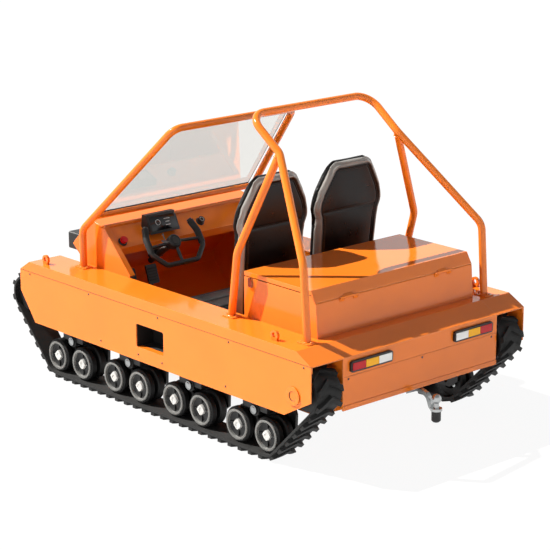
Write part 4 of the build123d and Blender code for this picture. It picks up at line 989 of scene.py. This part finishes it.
SKIRT_Y = 0.750         # outer face of a skirt
SKIRT_SCREWS = ((1.099, 0.563), (0.558, 0.563), (-0.033, 0.563), (-0.593, 0.563), (-1.141, 0.563),
                (0.458, 0.327), (0.135, 0.327), (-0.064, 0.327), (-0.567, 0.327))   # x, z
PANEL_BOLTS = ((0.505, 0.465), (0.0, 0.465), (-0.505, 0.465))                       # y, z
TUBE_FEET = ((0.810, 0.592), (-1.026, 0.622), (-0.442, 0.597))                      # x, y
FOOT_TOP = 0.638
FOOT_BOLT = 0.032       # from a tube's middle to its foot's bolts
BRACE_FOOT, BRACE_TOP = (-0.515, 0.621, 0.979), (-0.592, 0.407, 1.461)
BRACE_BEAD = 0.026      # weld bead below a brace's top
BOGIE_FACE, PIVOT_FACE, PIVOT_Z = 0.586, 0.690, 0.226
# From a bogie's pivot: x, z
BOGIE_BOLTS = ((-0.155, -0.122), (0.155, -0.122), (-0.120, -0.036), (0.120, -0.036))
PIVOT_SEAL = 0.0095     # seal behind a pivot cap's face
# Outlines about a fastener's axis: radius, height
BUTTON = ((0.0, 0.0032), (0.0025, 0.0030), (0.0045, 0.0018), (0.0055, 0.0), (0.0, 0.0))
PIVOT_DOME = ((0.0, 0.007), (0.008, 0.0062), (0.014, 0.004), (0.018, 0.0), (0.0, 0.0))
WASHER = ((0.0, 0.0012), (0.0105, 0.0012), (0.011, 0.0008), (0.011, 0.0), (0.0, 0.0))
BOLT_HALF = 0.0085      # from a bolt's middle to a corner of its head
BOLT_RINGS = ((1.0, 0.001), (1.0, 0.0062), (0.86, 0.0074))      # share of that, height


class VEHICLE_OT_fasteners(bpy.types.Operator):
    """Set the screws, bolts, pivot caps and weld beads."""

    bl_idname = "vehicle.fasteners"
    bl_label = "Fasteners"

    def execute(self, context):
        skirt = [(Vector((x, side * SKIRT_Y, z)), facing(LEFT * side))
                 for side in SIDES for x, z in SKIRT_SCREWS]
        panel_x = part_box("rear_panel_lower")[0].x
        rear = [(Vector((panel_x, y, z)), facing(-AHEAD)) for y, z in PANEL_BOLTS]
        feet = [(Vector((x + end * FOOT_BOLT, side * y, FOOT_TOP)), facing(UP, 0.4 * end))
                for side in SIDES for x, y in TUBE_FEET for end in SIDES]
        bogies = [(Vector((x + dx, side * BOGIE_FACE, PIVOT_Z + dz)), facing(LEFT * side, x))
                  for side in SIDES for x in BOGIE_X for dx, dz in BOGIE_BOLTS]
        caps, seals = (
            [(Vector((x, side * y, PIVOT_Z)), facing(LEFT * side)) for side in SIDES for x in BOGIE_X]
            for y in (PIVOT_FACE, PIVOT_FACE - PIVOT_SEAL))
        show_repeats((
            ("skirt_screws", lathe(BUTTON, 14), skirt, "black_paint", "black_paint"),
            ("panel_bolts", lathe(BUTTON, 14), rear, "black_paint", "black_paint"),
            ("foot_bolts", self.bolt(), feet, "orange_paint", "orange_paint"),
            ("bogie_bolts", self.bolt(), bogies, "bright_steel", "bright_steel"),
            ("pivot_caps", lathe(PIVOT_DOME, 28), caps, "bright_steel", "bright_steel"),
            ("pivot_seals", ring_form(0.0255, 0.0022, 32), seals, "black_rubber", "black_rubber"),
            ("tube_welds", ring_form(0.0212, 0.0028, 32), self.welds(), "orange_paint", "orange_paint")))
        return {"FINISHED"}

    def bolt(self):
        """Hexagon head on its washer."""
        form = lathe(WASHER, 20)
        angles = [math.pi * i / 3 for i in range(6)]
        corners = [Vector((math.cos(a), math.sin(a), 0)) * BOLT_HALF for a in angles]
        return skin(form, [[form.verts.new(corner * share + UP * height) for corner in corners]
                           for share, height in BOLT_RINGS])

    def welds(self):
        """Places of the beads round the tubes' feet and the brace tops."""
        beads = [(Vector((x, side * y, FOOT_TOP + 0.001)), facing(UP))
                 for side in SIDES for x, y in TUBE_FEET]
        for side in SIDES:
            foot, top = (Vector((x, side * y, z)) for x, y, z in (BRACE_FOOT, BRACE_TOP))
            along = (top - foot).normalized()
            beads.append((top - along * BRACE_BEAD, facing(along)))
        return beads


# Seams, trays and windscreen

SEAM_SHADE_END = 0.006        # the painted seam shade ends this far inside the skirt
SEAM_SHADE_BELOW, SEAM_SHADE_ABOVE = 0.0004, 0.0018     # the strip's edges from the seam
CAP_X, CAP_Z, CAP_FACE = -1.068, 0.405, 0.7547
CAP_RINGS, CAP_WIRE = (0.0434, 0.0255), 0.0022
HEM_TALL, HEM_THICK = 0.024, 0.003
TRAY_X, TRAY_Z = 0.036, 0.430       # middle of a step opening
TRAY_LONG, TRAY_TALL, TRAY_ROUND = 0.226, 0.126, 0.012
TRAY_MOUTH = 0.744      # front of the shade sheets' sides and top
TRAY_LIP = 0.712        # front of the shade sheet on the floor, behind the strip that stays orange
TRAY_BACK = 0.6392      # face of the shade sheet on the back wall
SHADE_SHEET_GAP, SHADE_SHEET_THICK = 0.0002, 0.001      # shade sheets' distance from the tray, their thickness
FILLER_FRONT, FILLER_BACK = SKIRT_Y - 0.0001, SKIRT_Y - 0.006
FLANGE_FOOT, FLANGE_HEAD = Vector((0.473, 0, 0.636)), Vector((0.694, 0, 0.860))
FLANGE_OUTER, FLANGE_INNER = 0.538, 0.504
FLANGE_LIFT, FLANGE_THICK = 0.009, 0.010
SHEET_THICK = 0.005     # windscreen sheet
SHEET_DROP = 0.034      # its top edge below the solid's
SHEET_ROUND = 0.075     # length that a top corner's round takes of each edge
SEAL_RADIUS, EDGE_RADIUS = 0.0055, 0.0028


class VEHICLE_OT_seams(bpy.types.Operator):
    """Lay the painted shade in the skirt seams and the step trays, the dark rings on the caps, the hem,
    flanges and tray trim, and glaze the windscreen.
    """

    bl_idname = "vehicle.seams"
    bl_label = "Seams and glazing"

    def execute(self, context):
        # Painted shade: dark strips along the seams between skirts and fenders
        self.put("skirt_seals", "black_rubber", "black_rubber", [self.seam_shade_strip(side) for side in SIDES])
        # Dark wire rings on the skirt caps' faces
        self.put("cap_seals", "black_rubber", "black_rubber", [
            stand(ring_form(radius, CAP_WIRE), (CAP_X, side * CAP_FACE, CAP_Z), AHEAD, LEFT * side)
            for side in SIDES for radius in CAP_RINGS])
        self.put("rear_hem", "orange_paint", "orange_paint", [self.hem()])
        self.put("tray_corners", "orange_paint", "orange_paint", [
            self.tray_corner(side, ahead, above) for side in SIDES for ahead in SIDES for above in SIDES])
        # Painted shade: black sheets inside the step trays, where the trays are in deep shade
        self.put("tray_liners", "painted_shade", "black_paint", [
            wall for side in SIDES for wall in self.tray_walls(side)])
        self.put("cowl_flanges", "orange_paint", "orange_paint", [self.flange(side) for side in SIDES])
        self.glaze()
        return {"FINISHED"}

    def put(self, name, look, slot, forms):
        """Join forms into one piece of the vehicle."""
        mesh = joined(name, [mesh_of(name, form, finishes()[look]) for form in forms])
        show(name, soften(mesh, 35), "vehicle", slot)

    def seam_shade_strip(self, side):
        """Dark strip of painted shade in the seam between skirt and fender."""
        low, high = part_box("skirt_left")
        face = side * (SKIRT_Y + 0.0003)
        aft, fore = low.x + SEAM_SHADE_END, high.x - SEAM_SHADE_END
        foot, top = high.z - SEAM_SHADE_BELOW, high.z + SEAM_SHADE_ABOVE
        corners = [(aft, face, foot), (fore, face, foot), (fore, face, top), (aft, face, top)]
        return plate(corners, (0, 0, 0), LEFT * side * -0.004)

    def hem(self):
        """Folded hem along the foot of the rear panel."""
        low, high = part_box("rear_panel_lower")
        top = low.z + HEM_TALL
        spots = ((low.y, top), (high.y, top), (high.y, low.z), (low.y, low.z))
        return plate([(low.x, y, z) for y, z in spots], AHEAD * -HEM_THICK, (0, 0, 0))

    def tray_corner(self, side, ahead, above):
        """Filler that rounds one corner of a step opening, flush with the skirt."""
        corner = Vector((TRAY_X + ahead * TRAY_LONG / 2, 0, TRAY_Z + above * TRAY_TALL / 2))
        middle = corner - Vector((ahead, 0, above)) * TRAY_ROUND
        arc = [middle + Vector((ahead * math.cos(a), 0, above * math.sin(a))) * TRAY_ROUND
               for a in np.linspace(0, math.pi / 2, 7)]
        return plate([corner] + arc, LEFT * side * FILLER_FRONT, LEFT * side * FILLER_BACK)

    def tray_walls(self, side):
        """Dark sheets of painted shade in a step tray; the front of its floor stays orange."""
        mouth, lip, back = (LEFT * side * y for y in (TRAY_MOUTH, TRAY_LIP, TRAY_BACK))
        long, tall = TRAY_LONG / 2 - SHADE_SHEET_GAP, TRAY_TALL / 2 - SHADE_SHEET_GAP
        fore, aft = AHEAD * (TRAY_X + long), AHEAD * (TRAY_X - long)
        top, foot = UP * (TRAY_Z + tall), UP * (TRAY_Z - tall)
        walls = (
            ((mouth + fore + top, mouth + aft + top, back + aft + top, back + fore + top), UP),
            ((mouth + fore + top, back + fore + top, back + fore + foot, mouth + fore + foot), AHEAD),
            ((mouth + aft + top, mouth + aft + foot, back + aft + foot, back + aft + top), -AHEAD),
            ((back + fore + top, back + aft + top, back + aft + foot, back + fore + foot), LEFT * -side),
            ((lip + fore + foot, lip + aft + foot, back + aft + foot, back + fore + foot), -UP))
        return [plate(corners, (0, 0, 0), outward * -SHADE_SHEET_THICK) for corners, outward in walls]

    def flange(self, side):
        """Flange turned in along the rear edge of a cowl side."""
        run = FLANGE_HEAD - FLANGE_FOOT
        out = Vector((-run.z, 0, run.x)).normalized()
        near, far = LEFT * side * FLANGE_OUTER, LEFT * side * FLANGE_INNER
        corners = [FLANGE_FOOT + near, FLANGE_HEAD + near, FLANGE_HEAD + far, FLANGE_FOOT + far]
        return plate(corners, out * FLANGE_LIFT, out * (FLANGE_LIFT - FLANGE_THICK))

    def glaze(self):
        """Cut the sheet with rounded top corners below the header, with its edge trim and foot seal."""
        finish = finishes()
        low_left, low_right, top_right, top_left = self.glass_corners()
        down_left = (low_left - top_left).normalized()
        down_right = (low_right - top_right).normalized()
        top_left, top_right = top_left + down_left * SHEET_DROP, top_right + down_right * SHEET_DROP
        along = (top_right - top_left).normalized()
        outline = [low_left]
        for corner, before, after in ((top_left, down_left, along), (top_right, -along, down_right)):
            start, end = corner + before * SHEET_ROUND, corner + after * SHEET_ROUND
            for share in np.linspace(0, 1, 9):
                outline.append(start.lerp(corner, share).lerp(corner.lerp(end, share), share))
        outline.append(low_right)
        half = (low_right - low_left).cross(top_left - low_left).normalized() * SHEET_THICK / 2
        sheet = mesh_of("screen_sheet", plate(outline, half, -half), finish["clear_glass"])
        show("screen_sheet", sheet, "vehicle", "clear_glass", "windscreen_glass")
        seal = tube("glass_seal", [low_left, low_right], SEAL_RADIUS, finish["black_rubber"])
        show("glass_seal", seal, "vehicle", "black_rubber")
        edge = tube("glass_edge", outline, EDGE_RADIUS, finish["black_plastic"])
        show("glass_edge", edge, "vehicle", "black_plastic")

    def glass_corners(self):
        """Middle of the solid's thickness at its four corners, from low left round to top left."""
        spots = points_of(frame["nodes"]["windscreen_glass"].data)
        middle = (spots[:, 2].min() + spots[:, 2].max()) / 2
        places = []
        for high, side in ((False, 1), (False, -1), (True, -1), (True, 1)):
            chosen = spots[((spots[:, 2] > middle) == high) & (spots[:, 1] * side > 0)]
            places.append(Vector(np.unique(chosen.round(5), axis=0).mean(0)))
        return places


# Controls

STEER_HUB = Vector((0.425, 0.264, 0.795))
STEER_RAKE = math.radians(35)
STEER_OUT = Vector((-math.cos(STEER_RAKE), 0, math.sin(STEER_RAKE)))
STEER_UP = Vector((math.sin(STEER_RAKE), 0, math.cos(STEER_RAKE)))
GRIP_LINE = ((0.1545, 0.098), (0.162, 0.076), (0.1715, 0.051), (0.1755, 0.030), (0.176, 0.0),
             (0.176, -0.040))       # across, up
GRIP_RADIUS = 0.0185
YOKE_CAP = ((0.0, 0.015), (0.020, 0.015), (0.022, 0.012), (0.027, 0.012), (0.029, 0.015), (0.034, 0.013),
            (0.040, 0.004), (0.040, -0.004), (0.0, -0.004))
LEVER_BRACKET = (0.036, 0.012, 0.005, 0.003, 0.001)     # length, width, thickness, corner, lip
LEVER_BALL = ((0.0, -0.006), (0.0042, -0.0042), (0.006, 0.0), (0.0042, 0.0042), (0.0, 0.006))
STALK_FOOT, STALK_TOP = (0.066, 0.006, 0.012), (0.068, 0.044, 0.016)    # across, up, out
STALK_RADIUS = 0.0028
DISPLAY_LOW = Vector((0.585, 0.196, 0.806))
DISPLAY_HIGH = Vector((0.635, 0.196, 0.905))
DISPLAY_RIM = (0.196, 0.104, 0.004, 0.008, 0.0015)
DISPLAY_FACE = (0.176, 0.084, 0.0012, 0.004, 0.0004)
MARK_BARS = (0.040, 0.028, 0.034)       # lengths, from the top bar down
MARK_PITCH = 0.018
DASH_FOOT = Vector((0.593, 0, 0.765))
DASH_SLOPE = Vector((0.107, 0, 0.101)).normalized()
DASH_OUT = Vector((-DASH_SLOPE.z, 0, DASH_SLOPE.x))
KNOB, STOP = (0.060, -0.090), (0.036, 0.468)    # up the dash, left
KNOB_FACE = 0.0262      # front of the knob above the dash
PEDAL_Y = (0.170, 0.320)
PEDAL_X, PEDAL_Z, PEDAL_FRONT = 0.752, 0.526, 0.012
PEDAL_LEAN = math.radians(20)
PEDAL_RIB, PEDAL_PITCH = (0.060, 0.007, 0.0035, 0.002, 0.001), 0.016


class VEHICLE_OT_controls(bpy.types.Operator):
    """Dress the steering yoke, the display, the dash switches and the pedals."""

    bl_idname = "vehicle.controls"
    bl_label = "Controls"

    def execute(self, context):
        self.dress_yoke()
        self.dress_display()
        self.dress_dash()
        self.dress_pedals()
        return {"FINISHED"}

    def put(self, name, forms, look, body, slot, sharp_deg=35):
        """Join forms into one piece."""
        meshes = [mesh_of(name, form, finishes()[look], sharp_deg) for form in forms]
        show(name, joined(name, meshes), body, slot)

    def on_yoke(self, across, up, out=0.0):
        """World place of a spot on the yoke's plane."""
        return STEER_HUB + LEFT * across + STEER_UP * up + STEER_OUT * out

    def dress_yoke(self):
        """Rubber grips, a hub cap and a small lever on its bracket."""
        finish = finishes()
        grips = []
        for side in SIDES:
            path = [self.on_yoke(side * across, up) for across, up in GRIP_LINE]
            grips.append(tube("grip", path, GRIP_RADIUS, finish["black_rubber"], sides=6))
        show("yoke_grips", joined("yoke_grips", grips), "steering", "black_rubber")
        cap = stand(lathe(YOKE_CAP, 40), STEER_HUB, LEFT, STEER_OUT)
        self.put("yoke_cap", [cap], "black_plastic", "steering", "black_plastic")
        tilt = LEFT + STEER_UP * 0.35
        bracket = stand(slab(*LEVER_BRACKET), self.on_yoke(0.074, 0.006, 0.012), tilt, STEER_OUT)
        stalk = [self.on_yoke(*spot) for spot in (STALK_FOOT, STALK_TOP)]
        ball = stand(lathe(LEVER_BALL, 20), self.on_yoke(0.068, 0.046, 0.016), LEFT, STEER_OUT)
        grey = finish["grey_paint"]
        lever = joined("yoke_lever", [
            mesh_of("bracket", bracket, grey), tube("stalk", stalk, STALK_RADIUS, grey),
            mesh_of("ball", ball, grey, 60)])
        show("yoke_lever", lever, "steering", "grey_paint")

    def dress_display(self):
        """Rim, dark glass, and a plain ring and bars that stand for the readings."""
        up = (DISPLAY_HIGH - DISPLAY_LOW).normalized()
        out = Vector((-up.z, 0, up.x))
        middle = (DISPLAY_LOW + DISPLAY_HIGH) / 2
        rim = stand(slab(*DISPLAY_RIM), middle, -LEFT, out)
        self.put("display_rim", [rim], "black_plastic", "vehicle", "black_plastic")
        face = stand(slab(*DISPLAY_FACE), middle + out * 0.0036, -LEFT, out)
        self.put("display_face", [face], "display_glass", "vehicle", "black_plastic")
        spot = middle + out * 0.005 + LEFT * 0.035 + up * 0.004
        marks = [stand(ring_form(0.015, 0.0012, 28), spot, -LEFT, out)]
        for row, long in enumerate(MARK_BARS):
            spot = middle + out * 0.0047 - LEFT * 0.030 + up * MARK_PITCH * (1 - row)
            marks.append(stand(slab(long, 0.004, 0.0006, 0.001, 0.0002), spot, -LEFT, out))
        self.put("display_marks", marks, "white_plastic", "vehicle", "white_plastic")

    def on_dash(self, up, left, out=0.0):
        """World place of a spot on the dash."""
        return DASH_FOOT + DASH_SLOPE * up + LEFT * left + DASH_OUT * out

    def dress_dash(self):
        """Collars round the knob and the stop button, and a ring on the knob."""
        collars = []
        for spot, radius in ((KNOB, 0.025), (STOP, 0.026)):
            profile = [(radius - 0.009, 0.001), (radius - 0.008, 0.006), (radius - 0.003, 0.006),
                       (radius, 0.003), (radius, 0.0), (radius - 0.009, 0.001)]
            collars.append(stand(lathe(profile, 32), self.on_dash(*spot), LEFT, DASH_OUT))
        self.put("switch_collars", collars, "black_plastic", "vehicle", "black_plastic")
        dial = stand(ring_form(0.012, 0.0009, 28), self.on_dash(*KNOB, KNOB_FACE), LEFT, DASH_OUT)
        self.put("knob_dial", [dial], "white_plastic", "vehicle", "white_plastic")

    def dress_pedals(self):
        """Rubber ribs across the pedals' faces."""
        out = Vector((-math.cos(PEDAL_LEAN), 0, math.sin(PEDAL_LEAN)))
        up = Vector((math.sin(PEDAL_LEAN), 0, math.cos(PEDAL_LEAN)))
        turn = tuple(Matrix((-LEFT, up, out)).transposed().to_euler())
        places = [(Vector((PEDAL_X, y, PEDAL_Z)) + out * PEDAL_FRONT + up * PEDAL_PITCH * row, turn)
                  for y in PEDAL_Y for row in range(-2, 3)]
        rubber = finishes()["black_rubber"]
        part = mesh_of("rib", slab(*PEDAL_RIB), rubber)
        show("pedal_ribs", repeat("pedal_ribs", part, places, rubber), "vehicle", "black_rubber")


# Lamps

LAMP_Y = 0.470
# Outlines about a lamp's axis: radius, distance ahead of the housing
BEZEL = ((0.034, 0.001), (0.035, 0.010), (0.038, 0.012), (0.042, 0.009), (0.044, 0.0), (0.034, 0.001))
BOWL = ((0.0, 0.0005), (0.008, 0.0008), (0.009, 0.004), (0.011, 0.004), (0.012, 0.001), (0.024, 0.003),
        (0.0345, 0.008), (0.0345, 0.0), (0.0, 0.0))
LENS_DOME = ((0.0, 0.015), (0.012, 0.0145), (0.024, 0.0125), (0.0345, 0.009), (0.0345, 0.008),
             (0.024, 0.0115), (0.012, 0.0135), (0.0, 0.014))


class VEHICLE_OT_lamps(bpy.types.Operator):
    """Give the headlamps their reflectors, bezels and domed lenses."""

    bl_idname = "vehicle.lamps"
    bl_label = "Lamps"

    def execute(self, context):
        low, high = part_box("headlamps")
        places = [(Vector((high.x, side * LAMP_Y, (low.z + high.z) / 2)), facing(AHEAD)) for side in SIDES]
        show_repeats((
            ("lamp_bezels", lathe(BEZEL, 44), places, "black_plastic", "black_plastic"),
            ("lamp_bowls", lathe(BOWL, 44), places, "bright_steel", "bright_steel"),
            ("lamp_domes", lathe(LENS_DOME, 44), places, "clear_glass", "clear_glass")))
        return {"FINISHED"}


# Solids that stay

TUBES = ("roll_frame", "windscreen_frame", "lifting_eyes")


class VEHICLE_OT_finish_solids(bpy.types.Operator):
    """Give every solid that stays the finish of its slot in the record."""

    bl_idname = "vehicle.finish_solids"
    bl_label = "Paint the solids"

    def execute(self, context):
        finish = finishes()
        for part in frame["record"]["subparts"]:
            mesh = frame["nodes"][part["node"]].data
            mesh.materials.clear()
            mesh.materials.append(finish["tube_paint" if part["node"] in TUBES else part["material_slot"]])
        return {"FINISHED"}


# Studio

EYE = Vector((-7.7838, 6.8302, 3.5250))
AZIMUTH, ELEVATION, ROLL = (math.radians(angle) for angle in (228.382, 15.552, -0.215))
SENSOR_MM = 36
SUN_FROM = Vector((0.555, 0.368, 0.743))
SUN_ANGLE = math.radians(0.5)
SUN_COLOUR = (1.0, 0.97, 0.92)
FILL_FROM, FILL_SIZE = Vector((0.5, 6.0, 1.6)), 4.0
HORIZON_WHITE, HORIZON_DIM = 0.38, 0.72     # heights on the world's sphere where white ends and dim begins
FLOOR_HALF = 30.0
WHITE = (1, 1, 1, 1)


def seen_rays(tree):
    """1 for rays that show a surface to the camera: straight, mirrored or through glass."""
    path = node(tree, "ShaderNodeLightPath").outputs
    straight = node(tree, "ShaderNodeMath", {0: path["Is Camera Ray"], 1: path["Is Glossy Ray"]},
                    operation="MAXIMUM")
    both = node(tree, "ShaderNodeMath", {0: straight.outputs["Value"], 1: path["Is Transmission Ray"]},
                operation="MAXIMUM")
    return both.outputs["Value"]


class VEHICLE_OT_stage(bpy.types.Operator):
    """Set the floor, the light and the camera at the photograph's angle."""

    bl_idname = "vehicle.stage"
    bl_label = "Studio"

    def execute(self, context):
        stage = settings()[2]
        scene = context.scene
        scene.view_settings.view_transform = "Standard"
        self.set_camera(scene, stage)
        self.set_world(scene, stage)
        self.set_lamps(scene, stage)
        self.set_floor(scene, stage)
        return {"FINISHED"}

    def set_camera(self, scene, stage):
        """Camera at the photograph's place, turned by its azimuth, elevation and roll."""
        back = Vector((math.sin(AZIMUTH) * math.cos(ELEVATION), -math.cos(AZIMUTH) * math.cos(ELEVATION),
                       math.sin(ELEVATION)))
        level = UP.cross(back).normalized()
        over = back.cross(level)
        right = level * math.cos(ROLL) + over * math.sin(ROLL)
        camera = bpy.data.cameras.new("photo_view")
        camera.lens = stage.lens
        camera.sensor_width = SENSOR_MM
        camera.clip_end = 100
        holder = bpy.data.objects.new("photo_view", camera)
        turn = Matrix((right, back.cross(right), back)).transposed().to_4x4()
        holder.matrix_world = Matrix.Translation(EYE) @ turn
        scene.collection.objects.link(holder)
        scene.camera = holder

    def set_world(self, scene, stage):
        """White all round the horizon, dimmer overhead, so that steep faces keep their colour."""
        world = bpy.data.worlds.new("white_studio")
        world.use_nodes = True
        tree = world.node_tree
        tree.nodes.clear()
        way = node(tree, "ShaderNodeTexCoord").outputs["Generated"]
        height = node(tree, "ShaderNodeSeparateXYZ", {"Vector": way}).outputs["Z"]
        white = node(tree, "ShaderNodeMapRange", {
            "Value": height, "From Min": HORIZON_WHITE, "From Max": HORIZON_DIM,
            "To Min": 1.0, "To Max": stage.overhead}, interpolation_type="SMOOTHSTEP")
        level = node(tree, "ShaderNodeMapRange", {
            "Value": seen_rays(tree), "To Min": stage.ambient, "To Max": white.outputs["Result"]})
        sky = node(tree, "ShaderNodeBackground", {"Color": WHITE, "Strength": level.outputs["Result"]})
        node(tree, "ShaderNodeOutputWorld", {"Surface": sky.outputs["Background"]})
        scene.world = world

    def set_lamps(self, scene, stage):
        """A sun as key light and a soft box on the left that metal doesn't mirror."""
        sun = bpy.data.lights.new("key_sun", "SUN")
        sun.energy = stage.sun
        sun.angle = SUN_ANGLE
        sun.color = SUN_COLOUR
        fill = bpy.data.lights.new("left_softbox", "AREA")
        fill.energy = stage.fill
        fill.size = FILL_SIZE
        for lamp, source in ((sun, SUN_FROM * 8), (fill, FILL_FROM)):
            holder = bpy.data.objects.new(lamp.name, lamp)
            holder.location = source
            holder.rotation_euler = facing(source)
            holder.visible_glossy = lamp is sun
            scene.collection.objects.link(holder)

    def set_floor(self, scene, stage):
        """White paper that keeps a share of the vehicle's shadow."""
        material, tree = new_finish("white_paper_floor")
        hidden = node(tree, "ShaderNodeMath", {0: seen_rays(tree), 1: 1.0 - stage.shadow},
                      operation="MULTIPLY")
        paper = node(tree, "ShaderNodeBsdfDiffuse", {"Color": linear("#E8E8E8")})
        white = node(tree, "ShaderNodeEmission", {"Color": WHITE, "Strength": 1.0})
        both = node(tree, "ShaderNodeMixShader", {
            0: hidden.outputs["Value"], 1: paper.outputs["BSDF"], 2: white.outputs["Emission"]})
        node(tree, "ShaderNodeOutputMaterial", {"Surface": both.outputs["Shader"]})
        corners = [(x * FLOOR_HALF, y * FLOOR_HALF, 0) for x, y in ((-1, -1), (1, -1), (1, 1), (-1, 1))]
        mesh = bpy.data.meshes.new("floor")
        mesh.from_pydata(corners, [], [(0, 1, 2, 3)])
        mesh.materials.append(material)
        floor = bpy.data.objects.new("floor", mesh)
        scene.collection.objects.link(floor)


class VIEW3D_PT_vehicle(bpy.types.Panel):
    """List the steps that dress the vehicle."""

    bl_label = "Tracked vehicle"
    bl_space_type = "VIEW_3D"
    bl_region_type = "UI"
    bl_category = "Vehicle"

    def draw(self, context):
        for step in STEPS:
            self.layout.operator(step.bl_idname)


STEPS = (
    VEHICLE_OT_finish_solids,
    VEHICLE_OT_road_wheels,
    VEHICLE_OT_seats,
    VEHICLE_OT_fasteners,
    VEHICLE_OT_seams,
    VEHICLE_OT_controls,
    VEHICLE_OT_lamps,
    VEHICLE_OT_stage,
)
GROUPS = (
    ("vehicle_finish", FinishSettings),
    ("vehicle_seats", SeatSettings),
    ("vehicle_stage", StageSettings),
)


def register():
    """Register the settings, steps and panel."""
    for name, group in GROUPS:
        bpy.utils.register_class(group)
        setattr(bpy.types.Scene, name, PointerProperty(type=group))
    for step in STEPS:
        bpy.utils.register_class(step)
    bpy.utils.register_class(VIEW3D_PT_vehicle)


def unregister():
    """Take the settings, steps and panel out again."""
    bpy.utils.unregister_class(VIEW3D_PT_vehicle)
    for step in reversed(STEPS):
        bpy.utils.unregister_class(step)
    for name, group in reversed(GROUPS):
        delattr(bpy.types.Scene, name)
        bpy.utils.unregister_class(group)


def main():
    """Run every step in order."""
    register()
    for step in STEPS:
        family, name = step.bl_idname.split(".")
        getattr(getattr(bpy.ops, family), name)()


if __name__ == "__main__":
    main()
